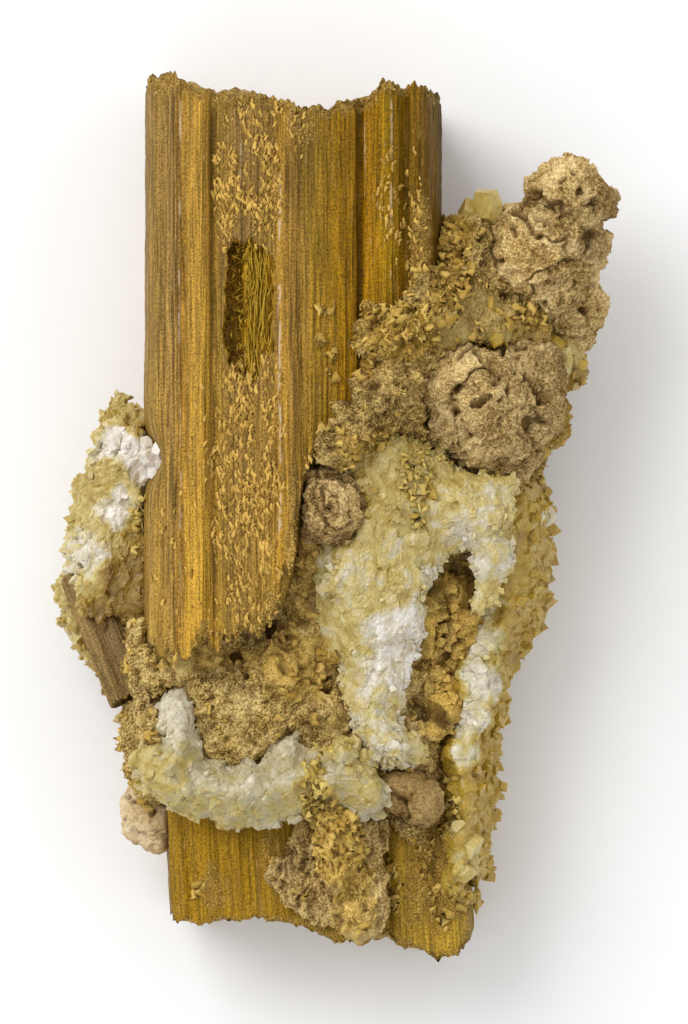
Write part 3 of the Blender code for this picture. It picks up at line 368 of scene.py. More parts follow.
def smooth_noise(points, size, seed):
    """Noise from -1 to 1 with features of the given size, one number or one for each axis."""
    scaled = points / np.asarray(size, dtype=float)
    home = np.floor(scaled).astype(np.int64)
    share = scaled - home
    share = share * share * (3 - 2 * share)
    total = np.zeros(len(points))
    for corner in np.ndindex(2, 2, 2):
        weight = np.prod(np.where(corner, share, 1 - share), axis=1)
        total += weight * hashed(home + np.array(corner), seed)
    return 2 * total - 1


def layered(points, size, seed, layers=3):
    """Smooth noise with finer and fainter layers on it."""
    size = np.asarray(size, dtype=float)
    return sum(smooth_noise(points, size / 2**i, seed + i) / 2**i for i in range(layers)) / 1.6


def three_hashed(cells, seed):
    """Three numbers from 0 to 1 for each cell, as a point."""
    return np.stack([hashed(cells, seed + axis) for axis in range(3)], axis=1)


def cells_round(points, spacing, seed):
    """The 27 cells round each point, one by one, with the point as seen from each cell's own seed."""
    scaled = points / np.asarray(spacing, dtype=float)
    home = np.floor(scaled).astype(np.int64)
    for step in np.ndindex(3, 3, 3):
        cell = home + np.array(step) - 1
        yield cell, scaled - (cell + three_hashed(cell, seed))


def nearest_seeds(points, spacing, seed):
    """Distances to the nearest and next of scattered seeds, in spacings, and the nearest's number."""
    first = np.full(len(points), FAR)
    second = first.copy()
    number = np.zeros(len(points))
    for cell, away in cells_round(points, spacing, seed):
        distance = np.linalg.norm(away, axis=1)
        nearer = distance < first
        second = np.where(nearer, first, np.minimum(second, distance))
        number = np.where(nearer, hashed(cell, seed + 9), number)
        first = np.where(nearer, distance, first)
    return first, second, number


def rhombs(points, spacing, seed):
    """The height of a crowd of turned, block-shaped crystals over each point, in spacings."""
    height = np.full(len(points), -1.0)
    for cell, away in cells_round(points, spacing, seed):
        turn = math.tau * three_hashed(cell, seed + 3).T
        cos, sin = np.cos(turn), np.sin(turn)
        x, y, z = away.T
        x, y = cos[0] * x - sin[0] * y, sin[0] * x + cos[0] * y
        y, z = cos[1] * y - sin[1] * z, sin[1] * y + cos[1] * z
        x, z = cos[2] * x - sin[2] * z, sin[2] * x + cos[2] * z
        tall = 0.35 + 0.5 * hashed(cell, seed + 7) - np.maximum(np.maximum(abs(x), abs(y)), 0.7 * abs(z))
        height = np.maximum(tall, height)
    return height


def facets(points, spacing, seed):
    """The height of flat faces that each tilt their own way, in spacings, and each face's number."""
    nearest = np.full(len(points), FAR)
    height = np.zeros(len(points))
    number = np.zeros(len(points))
    for cell, away in cells_round(points, spacing, seed):
        tilt = 2 * three_hashed(cell, seed + 3) - 1
        distance = np.linalg.norm(away, axis=1)
        nearer = distance < nearest
        height = np.where(nearer, np.sum(away * tilt, axis=1) + 0.3 * hashed(cell, seed + 7), height)
        number = np.where(nearer, hashed(cell, seed + 9), number)
        nearest = np.where(nearer, distance, nearest)
    return height, number


def tangled(points, size, amount, seed):
    """Points pushed about to all sides, so that what stands up from a surface leans and curls over."""
    push = np.stack([smooth_noise(points, size, seed + axis) for axis in range(3)], axis=1)
    return points + amount * push


def step_between(low, high, values):
    """A smooth step from 0 at low to 1 at high."""
    share = np.clip((values - low) / (high - low), 0, 1)
    return share * share * (3 - 2 * share)


# Meshes, in millimetres.


def add_object(name, data):
    obj = bpy.data.objects.new(name, data)
    bpy.context.scene.collection.objects.link(obj)
    return obj


def merged(node, turn=Matrix.Identity(3)):
    """A copy of a solid from the frame as a bmesh in millimetres, seen in axes turned by a matrix."""
    bm = bmesh.new()
    bm.from_mesh(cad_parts[node].data)
    bmesh.ops.transform(bm, matrix=(turn.inverted() * (1 / MM)).to_4x4(), verts=bm.verts)
    bmesh.ops.remove_doubles(bm, verts=bm.verts, dist=1e-4)
    return bm


def as_shown(obj):
    """Gives an object the mesh that its modifiers make, for good, and takes the modifiers off."""
    graph = bpy.context.evaluated_depsgraph_get()
    made = bpy.data.meshes.new_from_object(obj.evaluated_get(graph))
    obj.modifiers.clear()
    spare = obj.data
    obj.data = made
    bpy.data.meshes.remove(spare)


# The sides that the specimen is looked at from, the steps in which they are felt over, how far outside the
# feeling starts, and how deep under the outside a point still counts as seen.
SIDES = ((0, 0, 1), (1, 0, 0), (-1, 0, 0), (0, 1, 0), (0, -1, 0))
FEELER = 0.5
OUTSIDE = 200.0
SEEN_DEPTH = 1.2


def reach_of_sides():
    """How far out the whole specimen reaches, at each cell of a grid, as seen from each side."""
    bm = bmesh.new()
    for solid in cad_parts.values():
        bm.from_mesh(solid.data)
    bmesh.ops.scale(bm, vec=(1 / MM,) * 3, verts=bm.verts)
    places = np.array([vert.co for vert in bm.verts])
    whole = BVHTree.FromBMesh(bm)
    bm.free()
    low = places.min(axis=0) - FEELER
    cells = np.ceil((places.max(axis=0) - low) / FEELER).astype(int) + 2
    reach = []
    for side in SIDES:
        axis = int(np.argmax(np.abs(side)))
        across = [i for i in range(3) if i != axis]
        grid = np.full([cells[i] for i in across], -OUTSIDE)
        for cell in np.ndindex(*grid.shape):
            start = np.array(side) * OUTSIDE
            start[across] = low[across] + np.array(cell) * FEELER
            hit = whole.ray_cast(Vector(start), -Vector(side))[0]
            if hit:
                grid[cell] = hit.dot(side)
        reach.append((side, across, low[across], grid))
    return reach


def in_view(points, reach):
    """Whether each point lies near the outside of the whole specimen, as seen from any of the sides."""
    seen = np.zeros(len(points), dtype=bool)
    for side, across, low, grid in reach:
        cell = np.round((points[:, across] - low) / FEELER).astype(int)
        cell = np.clip(cell, 0, np.array(grid.shape) - 1)
        seen |= points @ np.array(side) > grid[tuple(cell.T)] - SEEN_DEPTH
    return seen


def even_copy(node, face, worn, reach):
    """A closed copy of a solid, worn down over so many rounds, in even faces that are finest where seen."""
    bm = merged(node)
    mesh = bpy.data.meshes.new(node)
    bm.to_mesh(mesh)
    bm.free()
    obj = add_object(node + "_fine", mesh)
    even = obj.modifiers.new("even faces", "REMESH")
    even.mode = "VOXEL"
    even.voxel_size = 3 * face
    as_shown(obj)
    seen = in_view(read(obj.data)[0], reach)
    bm = bmesh.new()
    bm.from_mesh(obj.data)
    open_edges = [edge for edge in bm.edges if all(seen[vert.index] for vert in edge.verts)]
    bmesh.ops.subdivide_edges(bm, edges=open_edges, cuts=2, use_grid_fill=True)
    bmesh.ops.triangulate(bm, faces=[face for face in bm.faces if len(face.verts) > 4])
    bm.to_mesh(obj.data)
    bm.free()
    smooth = obj.modifiers.new("worn corners", "SMOOTH")
    smooth.factor = 0.5
    smooth.iterations = worn
    as_shown(obj)
    return obj


def read(mesh):
    """The points of a mesh and their outward normals, as arrays."""
    points = np.empty(len(mesh.vertices) * 3)
    normals = points.copy()
    mesh.vertices.foreach_get("co", points)
    mesh.vertex_normals.foreach_get("vector", normals)
    return points.reshape(-1, 3), normals.reshape(-1, 3)


def write(mesh, points):
    mesh.vertices.foreach_set("co", points.ravel())
    mesh.update()


def paint(mesh, name, values):
    """Keeps a number for each point of a mesh, for a material or a scatter to read."""
    layer = mesh.attributes.get(name) or mesh.attributes.new(name, "FLOAT", "POINT")
    layer.data.foreach_set("value", np.asarray(values, dtype=np.float32))


def paint_vectors(mesh, name, values):
    layer = mesh.attributes.new(name, "FLOAT_VECTOR", "POINT")
    layer.data.foreach_set("vector", np.asarray(values, dtype=np.float32).ravel())


def blended(points, base, patches, seed):
    """A value over the points that goes from base to each patch's own, with ragged borders."""
    ragged = np.stack([layered(points, 2.2, seed + axis) for axis in range(2)], axis=1) * 1.1
    flat = points[:, :2] + ragged
    values = np.full(len(points), float(base))
    for x, y, radius, value in patches:
        near = 1 - step_between(0.55 * radius, 1.25 * radius, np.hypot(flat[:, 0] - x, flat[:, 1] - y))
        values += near * (value - values)
    return values


def covered(points, patches, seed):
    """How thickly something grows over the points, from patches of (x, y, half width, half height, share)."""
    ragged = layered(points, 1.4, seed) * 0.35
    thick = np.zeros(len(points))
    for x, y, wide, high, share in patches:
        away = np.hypot((points[:, 0] - x) / wide, (points[:, 1] - y) / high) + ragged
        thick = np.maximum(thick, share * (1 - step_between(0.7, 1.15, away)))
    return thick


def flat_points(x, y):
    """Points (x, y, 0), for noise that is the same at every height."""
    return np.stack([x, y, 0 * x], axis=1)


def numbers(mesh, name):
    """The numbers that are kept for each point of a mesh."""
    values = np.empty(len(mesh.vertices), dtype=np.float32)
    mesh.attributes[name].data.foreach_get("value", values)
    return values


# How high over the specimen a ray down to it starts.
ABOVE = 90.0


def hit_from_above(solid, x, y):
    """Where a solid is first met by a ray straight down at (x, y), or None."""
    return solid.ray_cast(Vector((x, y, ABOVE)), Vector((0, 0, -1)))[0]


# The small shapes that grow on a surface, about 1 mm in radius before they are scaled.


def tablet_shape():
    """A six-sided tabular crystal with bevelled rims."""
    bm = bmesh.new()
    rings = []
    for height, radius in ((-0.34, 0.66), (-0.04, 1.0), (0.3, 0.7)):
        corners = []
        for corner, stretch in enumerate((1.1, 0.86, 1.0, 1.2, 0.8, 0.96)):
            angle = math.radians(60 * corner)
            far = radius * stretch
            corners.append(bm.verts.new((far * math.cos(angle), far * math.sin(angle), height)))
        rings.append(corners)
    walled(bm, rings)
    return shape_object("tablet", bm)


def tooth_shape():
    """A blunt, pointed crystal with a three-sided tip at each end."""
    bm = bmesh.new()
    tip = bm.verts.new((0.15, 0, 1.0))
    foot = bm.verts.new((0, 0, -1.0))
    ring = []
    for corner in range(6):
        angle = math.radians(60 * corner)
        rise = 0.28 if corner % 2 else -0.28
        ring.append(bm.verts.new((0.75 * math.cos(angle), 0.55 * math.sin(angle), rise)))
    for corner in range(0, 6, 2):
        low, high, next_low, next_high = (ring[(corner + i) % 6] for i in range(4))
        bm.faces.new((low, next_low, high))
        bm.faces.new((high, next_low, next_high))
        bm.faces.new((tip, high, next_high))
        bm.faces.new((foot, next_low, low))
    return shape_object("tooth", bm)


def block_shape():
    """A sheared, blocky crystal with two of its corners cut off."""
    bm = bmesh.new()
    bmesh.ops.create_cube(bm, size=1.5)
    for vert in bm.verts:
        vert.co.x += 0.3 * vert.co.z
        vert.co.y *= 0.8
    for corner in ((1, 1, 1), (-1, 0.6, 0.8)):
        bmesh.ops.bisect_plane(
            bm, geom=bm.verts[:] + bm.edges[:] + bm.faces[:], plane_co=0.55 * Vector(corner),
            plane_no=corner, clear_outer=True,
        )
        bmesh.ops.holes_fill(bm, edges=bm.edges)
    return shape_object("block", bm)


def grain_shape():
    """A rough grain of eight faces."""
    bm = bmesh.new()
    top, bottom = (bm.verts.new(place) for place in ((0.1, 0.2, 1.0), (-0.2, 0.1, -0.8)))
    places = ((1.1, 0.1, 0.2), (0.1, 0.8, -0.2), (-0.9, -0.2, 0.2), (0.2, -1.0, 0))
    belt = [bm.verts.new(place) for place in places]
    for vert, following in zip(belt, belt[1:] + belt[:1]):
        bm.faces.new((vert, following, top))
        bm.faces.new((following, vert, bottom))
    return shape_object("grain", bm)


def walled(bm, rings):
    """Faces between rings of points, and a face over the first and the last ring."""
    for under, over in zip(rings, rings[1:]):
        for number, vert in enumerate(under):
            following = (number + 1) % len(under)
            bm.faces.new((vert, under[following], over[following], over[number]))
    bm.faces.new(rings[0])
    bm.faces.new(reversed(rings[-1]))


def ragged_shape():
    """A crumpled, twisted scrap of crust, its length along Y."""
    bm = bmesh.new()
    rows = []
    for y, wide, thick, aside, lift, twist in (
        (-1.0, 0.3, 0.12, 0.2, 0.0, -20), (-0.5, 0.62, 0.2, -0.15, 0.2, 35),
        (0.15, 0.4, 0.28, 0.12, -0.05, -30), (0.7, 0.56, 0.16, -0.1, 0.3, 50),
    ):
        cos, sin = math.cos(math.radians(twist)), math.sin(math.radians(twist))
        corners = ((-wide, -thick), (wide, -0.6 * thick), (0.8 * wide, thick), (-1.1 * wide, 0.5 * thick))
        places = [(cos * x - sin * z + aside, y, sin * x + cos * z + lift) for x, z in corners]
        rows.append([bm.verts.new(place) for place in places])
    walled(bm, rows)
    return shape_object("scrap", bm)


def curl_shape():
    """A short, thick fibre bent to a hook."""
    bm = bmesh.new()
    rings = []
    for step in range(5):
        angle = 1.1 * step
        middle = Vector((math.cos(angle), math.sin(angle), 0.25 * step - 0.5))
        thick = (0.16, 0.24, 0.26, 0.22, 0.12)[step]
        ring = []
        for corner in range(3):
            turn = math.tau * corner / 3
            out = Vector((math.cos(angle) * math.cos(turn), math.sin(angle) * math.cos(turn), math.sin(turn)))
            ring.append(bm.verts.new(middle + thick * out))
        rings.append(ring)
    walled(bm, rings)
    return shape_object("curl", bm)


def flake_shape():
    """A thin scale that curls up at its upper end, its length along Y."""
    bm = bmesh.new()
    rows = []
    for y, wide, lift, aside in (
        (-1.3, 0.2, -0.3, 0.0), (-0.4, 0.5, 0.1, 0.15), (0.5, 0.34, 0.3, -0.15), (1.3, 0.2, 0.7, 0.1)
    ):
        corners = ((-wide, -0.4), (wide, lift - 0.2), (0.8 * wide, lift + 0.1), (-1.1 * wide, lift + 0.3))
        rows.append([bm.verts.new((x + aside, y, z)) for x, z in corners])
    walled(bm, rows)
    return shape_object("flake", bm)


def shape_object(name, bm):
    bmesh.ops.recalc_face_normals(bm, faces=bm.faces)
    mesh = bpy.data.meshes.new(name)
    bm.to_mesh(mesh)
    bm.free()
    return add_object(name, mesh)


def give(tree, node, inputs):
    """Sets or links a node's inputs: a tuple holds them in order, and a dict names or numbers them."""
    for key, value in inputs.items() if isinstance(inputs, dict) else enumerate(inputs):
        socket = node.inputs[key]
        if isinstance(value, bpy.types.NodeSocket):
            tree.links.new(value, socket)
        elif isinstance(value, str) and value.startswith("#"):
            socket.default_value = linear(value)[: len(socket.default_value)]
        else:
            socket.default_value = value


def add_node(tree, kind, inputs=(), out=0, stops=(), **settings):
    """Adds a node, a shader node if its kind isn't written in full, and returns one of its outputs.

    The stops are those of a colour ramp, as (position, colour).
    """
    made = tree.nodes.new(kind if "Node" in kind else "ShaderNode" + kind)
    for key, value in settings.items():
        setattr(made, key, value)
    give(tree, made, inputs)
    if stops:
        elements = made.color_ramp.elements
        while len(elements) < len(stops):
            elements.new(1.0)
        for element, (position, colour) in zip(elements, stops):
            element.position = position
            element.color = linear(colour)
    return made.outputs[out] if made.outputs else None


# How far, in radians, a copy leans that may lie every way.
EVERY_WAY = 3.0
GROWTH_TREE = "growth on a surface"
GROWTH_INPUTS = (
    ("Surface", "Geometry"), ("Shape", "Object"), ("Growth", "String"), ("Spacing", "Float"),
    ("Smallest", "Float"), ("Largest", "Float"), ("Lean", "Float"), ("Spin", "Float"), ("Follow", "Float"),
    ("Wobble", "Float"), ("Seed", "Int"), ("Finish", "Material"),
)


def growth_tree():
    """Grows copies of a shape on a surface, close together where its growth attribute is high."""
    tree = bpy.data.node_groups.new(GROWTH_TREE, "GeometryNodeTree")
    for name, kind in GROWTH_INPUTS:
        tree.interface.new_socket(name, in_out="INPUT", socket_type="NodeSocket" + kind)
    tree.interface.new_socket("Grown", in_out="OUTPUT", socket_type="NodeSocketGeometry")
    given = add_node(tree, "NodeGroupInput").node.outputs
    thick = add_node(tree, "GeometryNodeInputNamedAttribute", (given["Growth"],), data_type="FLOAT")
    area = add_node(tree, "Math", (given["Spacing"], 2.0), operation="POWER")
    most = add_node(tree, "Math", (1.6, area), operation="DIVIDE")
    points = add_node(
        tree, "GeometryNodeDistributePointsOnFaces",
        {
            "Mesh": given["Surface"], "Distance Min": given["Spacing"], "Density Max": most,
            "Density Factor": thick, "Seed": given["Seed"],
        },
        "Points", distribute_method="POISSON",
    )
    followed = add_node(
        tree, "FunctionNodeAlignRotationToVector",
        {"Rotation": points.node.outputs["Rotation"], "Factor": given["Follow"], "Vector": (0.0, 1.0, 0.0)},
        axis="Y", pivot_axis="Z",
    )
    most_turn = add_node(tree, "CombineXYZ", (given["Lean"], given["Lean"], given["Spin"]))
    least_turn = add_node(tree, "VectorMath", {0: most_turn, "Scale": -1.0}, operation="SCALE")
    turn = add_node(
        tree, "FunctionNodeRandomValue", {0: least_turn, 1: most_turn, "Seed": given["Seed"]},
        data_type="FLOAT_VECTOR",
    )
    turned = add_node(
        tree, "FunctionNodeRotateRotation", {"Rotation": followed, "Rotate By": turn}, rotation_space="LOCAL"
    )
    sizes = {2: given["Smallest"], 3: given["Largest"], "Seed": given["Seed"]}
    size = add_node(tree, "FunctionNodeRandomValue", sizes, 1, data_type="FLOAT")
    shape = add_node(tree, "GeometryNodeObjectInfo", {"Object": given["Shape"]}, "Geometry")
    copies = add_node(
        tree, "GeometryNodeInstanceOnPoints",
        {"Points": points, "Instance": shape, "Rotation": turned, "Scale": size},
    )
    chance = add_node(tree, "FunctionNodeRandomValue", {2: 0.0, 3: 1.0, "Seed": 5}, 1, data_type="FLOAT")
    tinted = add_node(
        tree, "GeometryNodeStoreNamedAttribute", {"Geometry": copies, "Name": "tint", "Value": chance},
        data_type="FLOAT", domain="INSTANCE",
    )
    real = add_node(tree, "GeometryNodeRealizeInstances", (tinted,))
    place = add_node(tree, "GeometryNodeInputPosition")
    bent = add_node(tree, "TexNoise", {"Vector": place, "Scale": 3.1, "Detail": 1.0}, "Color")
    middle = add_node(tree, "VectorMath", (bent, (0.5, 0.5, 0.5)), operation="SUBTRACT")
    push = add_node(tree, "VectorMath", {0: middle, "Scale": given["Wobble"]}, operation="SCALE")
    moved = add_node(tree, "GeometryNodeSetPosition", {"Geometry": real, "Offset": push})
    coated = add_node(tree, "GeometryNodeSetMaterial", {"Geometry": moved, "Material": given["Finish"]})
    add_node(tree, "NodeGroupOutput", (coated,))
    return tree


def grown_on(surface, thick, shape, finish, spacing, sizes, lean, wobble, seed, spin=math.pi, follow=0.0):
    """A plain mesh object of copies of a shape that grow on a surface, as thickly as given for its points.

    The sizes are the smallest and the largest copy's, and a copy leans and spins by so many radians at most.
    It follows Y where follow is 1, and its points are pushed about by the wobble. The shape is used up.
    """
    paint(surface.data, "growth", thick)
    tree = bpy.data.node_groups.get(GROWTH_TREE) or growth_tree()
    host = add_object(surface.name + "_growth", surface.data)
    step = host.modifiers.new("growth", "NODES")
    step.node_group = tree
    given = {
        "Shape": shape, "Growth": "growth", "Spacing": spacing, "Smallest": sizes[0], "Largest": sizes[1],
        "Lean": lean, "Spin": spin, "Follow": follow, "Wobble": wobble, "Seed": seed, "Finish": finish,
    }
    for item in tree.interface.items_tree:
        if item.name in given:
            step[item.identifier] = given[item.name]
    graph = bpy.context.evaluated_depsgraph_get()
    mesh = bpy.data.meshes.new_from_object(host.evaluated_get(graph))
    host.modifiers.clear()
    host.data = mesh
    bpy.data.objects.remove(shape, do_unlink=True)
    return host


def scraps_on(surface, thick, finish, spacing, largest, seed):
    """Smooth, crumpled scraps of crust that grow on a surface and lean every way."""
    made = grown_on(
        surface, thick, ragged_shape(), finish, spacing, (0.2, largest), EVERY_WAY, wobble=0.9, seed=seed
    )
    made.data.shade_smooth()
    return made


def joined(base, *others):
    """Makes other objects a part of the first one's mesh."""
    chosen = [base, *others]
    with bpy.context.temp_override(active_object=base, object=base, selected_editable_objects=chosen):
        bpy.ops.object.join()
    return base


def finished(obj, slot, node=None):
    """Turns a piece to metres, puts it on the specimen and hides its plain solid."""
    points, _ = read(obj.data)
    points[:, 2] = np.maximum(points[:, 2], 0.0)
    write(obj.data, points * MM)
    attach(obj, "root")
    if node:
        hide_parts(node)
    return obj


# The prisms.

# How far the front of a prism's solid drops before it counts as a window's floor.
WINDOW_DEPTH = 0.9
# How many fibres hang in the window, and up to which x they are short and twisted.
FIBRE_COUNT = 270
TWISTED_TO = -6.9
# How deep the prisms' ends are broken in, and in how many steps to a whole depth.
END_DEPTH = 1.5
END_STEPS = 2.5


def cross_section(bm, at_y):
    """The corners (x, z), in order, where the plane y = at_y cuts a solid's walls."""
    sliced = bm.copy()
    everything = sliced.verts[:] + sliced.edges[:] + sliced.faces[:]
    cut = bmesh.ops.bisect_plane(
        sliced, geom=everything, dist=1e-5, plane_co=(0, at_y, 0), plane_no=(0, 1, 0)
    )["geom_cut"]
    sides = [item for item in cut if isinstance(item, bmesh.types.BMEdge)]
    first = min(sides, key=lambda side: tuple(side.verts[0].co.xz))
    corners, vert = [first.verts[0].co.xz], first.verts[1]
    sides = set(sides) - {first}
    while vert is not first.verts[0]:
        corners.append(vert.co.xz)
        side = next(edge for edge in vert.link_edges if edge in sides)
        sides.discard(side)
        vert = side.other_vert(vert)
    sliced.free()
    area = sum(a.cross(b) for a, b in zip(corners, corners[1:] + corners[:1]))
    return corners if area > 0 else corners[::-1]


def close_points(corners, steps, front_from):
    """Points along a closed outline: close on the front, wider apart on the sides and widest on the back."""
    made = []
    for a, b in zip(corners, corners[1:] + corners[:1]):
        side = b - a
        if min(a.y, b.y) > front_from:
            step = steps[0]
        else:
            step = steps[2] if side.x > 0.8 * side.length else steps[1]
        count = max(1, round(side.length / step))
        made += [a.lerp(b, i / count) for i in range(count)]
    points = np.array([tuple(p) for p in made])
    for _ in range(5):
        points = 0.5 * points + 0.25 * (np.roll(points, 1, axis=0) + np.roll(points, -1, axis=0))
    return points


def ends_at(solid, points):
    """Where a solid starts and stops along y at each (x, z)."""
    found = np.full((2, len(points)), np.nan)
    for number, (x, z) in enumerate(points):
        for end, direction in enumerate((1, -1)):
            hit = solid.ray_cast(Vector((x, -OUTSIDE * direction, z)), Vector((0, direction, 0)))[0]
            if hit:
                found[end, number] = hit.y
    places = np.arange(len(points))
    for row in found:
        missed = np.isnan(row)
        row[missed] = np.interp(places[missed], places[~missed], row[~missed])
    return found


def rib_relief(look, along, x, y, front):
    """How far the ribs stand out, and the single lines: 1 for a painted highlight on a crest, -1 for painted
    shade in a groove.
    """
    seed = look["seed"]
    at = flat_points(along, y)
    broad = 0.06 * smooth_noise(at, (1.3, 60.0, 1.0), seed)
    ribs = 0.085 * smooth_noise(at, (0.5, 26.0, 1.0), seed + 1)
    fine = 0.065 * smooth_noise(at, (0.25, 9.0, 1.0), seed + 2)
    finest = 0.034 * smooth_noise(at, (0.17, 1.8, 1.0), seed + 3)
    grain = 0.026 * smooth_noise(at, (0.19, 0.42, 1.0), seed + 4)
    relief = look["ribs"] * (broad + ribs + fine) + finest + grain
    ledge = smooth_noise(at, (0.9, 7.0, 1.0), seed + 5)
    relief -= 0.07 * step_between(0.35, 0.5, ledge) * front
    relief += 0.12 * smooth_noise(at, (1.5, 40.0, 1.0), seed + 6) * look["ribs"] * (1 - front)
    if "smooth" in look:
        low, high = look["smooth"]
        smooth = step_between(low - 0.2, low + 0.2, x) * (1 - step_between(high - 0.2, high + 0.2, x))
        relief *= 1 - 0.7 * smooth * front
    line = np.zeros(len(x))
    dashes = step_between(-0.1, 0.4, smooth_noise(flat_points(x * 4, y), (1, 1.6, 1), 79))
    for line_x, low, high, half_width, height in look.get("lines", ()):
        sway = 0.08 * smooth_noise(flat_points(0 * y + line_x, y), (1, 6.0, 1), seed)
        near = np.exp(-(((x - line_x + sway) / half_width) ** 2)) * front
        near *= step_between(low - 1.5, low + 1.5, y) * (1 - step_between(high - 1, high + 1, y))
        relief += height * near
        # The sharpest crests get a painted highlight in dashes, and the deepest grooves painted shade.
        mark = near**3 * dashes * (height > 0.12) - near * (height < -0.15)
        line = np.where(abs(mark) > abs(line), mark, line)
    return relief, line


def crusted(look, x, y, front):
    """How thickly a prism's front is crusted over, by grains and by clusters of crumbs."""
    at = flat_points(x, y)
    grains = covered(at, look.get("grains", ()), 94)
    return np.maximum(grains, covered(at, look.get("crumbs", ()), 92)) * front


def window_floor(solid, x, y, z, seed):
    """Heights z over (x, y), lowered to the solid's own where a window is broken into its front."""
    at = flat_points(x, y)
    sway_x = 0.22 * smooth_noise(at, (0.6, 1.1, 1), seed) + 0.1 * smooth_noise(at, (0.25, 0.4, 1), seed + 1)
    sway_y = 0.5 * smooth_noise(at, (0.35, 1.2, 1), seed + 2)
    lowered = z.copy()
    for i in range(len(x)):
        hit = hit_from_above(solid, x[i] + sway_x[i], y[i] + sway_y[i])
        if hit and hit.z < z[i] - WINDOW_DEPTH:
            lowered[i] = hit.z
    return lowered


def windowed(solid, x, y, z, along_at, reached):
    """Heights z let down to the fibrous floor of a window, and how deep the window is there, which sets its
    painted shade, more in its left part.
    """
    floor = z.copy()
    floor[reached] = window_floor(solid, x[reached], y[reached], z[reached], 81)
    left_part = 1 - step_between(-7.5, -6.5, x + 0.4 * smooth_noise(along_at, (1.0, 1.5, 1.0), 83))
    floor = np.maximum(floor, z - 1.0 - 1.3 * left_part)
    # Painted shade: the deeper and the further left, the darker the floor is painted.
    hollow = step_between(0.2, 1.0, z - floor) * (0.35 + 0.65 * left_part)
    fibres = np.stack([x, y, z], axis=1)
    floor += 0.25 * smooth_noise(fibres, (0.22, 2.4, 1.0), 82) * (floor < z)
    return floor, hollow


def capped(mesh_points, mesh_faces, ring, solid, end, look):
    """Closes one end of a prism, 0 or 1, with a broken, stepped face on the ring of its last points."""
    outline = [tuple(p) for p in mesh_points[ring][:, [0, 2]]]
    low = np.min(outline, axis=0)
    high = np.max(outline, axis=0)
    spacing = 0.45
    rim = [Vector(p) for p in outline]
    xs, zs = np.meshgrid(np.arange(low[0], high[0], spacing), np.arange(low[1], high[1], spacing))
    grid = np.stack([xs.ravel(), zs.ravel()], axis=1)
    jog = flat_points(*grid.T)
    grid = grid + 0.3 * spacing * np.stack([smooth_noise(jog, 0.31, 5), smooth_noise(jog, 0.31, 6)], axis=1)
    edge = np.array(outline)
    inner = [p for p in grid if deep_inside(p, edge, 0.3)]
    ends = ends_at(solid, inner)[end]
    made = delaunay_2d_cdt(rim + [Vector(p) for p in inner], [], [list(range(len(rim)))], 1, 1e-7)
    if len(made[0]) != len(rim) + len(inner):
        raise RuntimeError("an end of a prism crosses itself")
    at = np.stack([[p[0], y, p[1]] for p, y in zip(inner, ends)])
    broken_in = 0.45 + layered(at, 2.6, look["seed"] + 30) + 0.35 * smooth_noise(at, 0.8, look["seed"] + 31)
    broken_in = 0.35 * broken_in + 0.65 * np.floor(broken_in * END_STEPS) / END_STEPS
    at[:, 1] += (-1 if end else 1) * END_DEPTH * np.maximum(broken_in, -0.1)
    first = len(mesh_points)
    places = list(ring) + list(range(first, first + len(at)))
    for triangle in made[2]:
        mesh_faces.append([places[i] for i in (reversed(triangle) if end else triangle)])
    return np.concatenate([mesh_points, at])


def deep_inside(point, edge, margin):
    """Whether a point lies inside an outline, further from it than the margin."""
    following = np.roll(edge, -1, axis=0)
    crosses = (edge[:, 1] > point[1]) != (following[:, 1] > point[1])
    run = np.where(crosses, following[:, 1] - edge[:, 1], 1.0)
    at = edge[:, 0] + (following[:, 0] - edge[:, 0]) * (point[1] - edge[:, 1]) / run
    inside = np.count_nonzero(crosses & (point[0] < at)) % 2 == 1
    return inside and np.min(np.hypot(*(edge - point).T)) > margin


def ragged_ends(look, solid, outline, outward, along):
    """Where each lengthwise row of a prism's points starts and stops, at its splintered and worn ends."""
    foot, top = ends_at(solid, outline - outward * 0.2)
    seam = flat_points(along, 0 * along)
    ragged_top, ragged_foot = look["ragged"]
    faces_front = step_between(0.15, 0.5, outward[:, 1])
    splinter = 0.5 * smooth_noise(seam, 0.9, 71) + 0.35 * smooth_noise(seam, 0.4, 72)
    splinter = (splinter + 0.3 * smooth_noise(seam, 0.2, 73)) * faces_front
    top = top + ragged_top * (splinter + 0.5 * smooth_noise(seam, 2.3, 70))
    for worn_x, half_width, deep in look.get("worn", ()):
        top = top - deep * np.exp(-(((outline[:, 0] - worn_x) / half_width) ** 2))
    chips = (0.6 * smooth_noise(seam, 0.8, 74) + 0.5 * smooth_noise(seam, 0.3, 75)) * faces_front
    foot = foot + ragged_foot * (chips + 0.4 * smooth_noise(seam, 2.6, 69))
    return foot, top


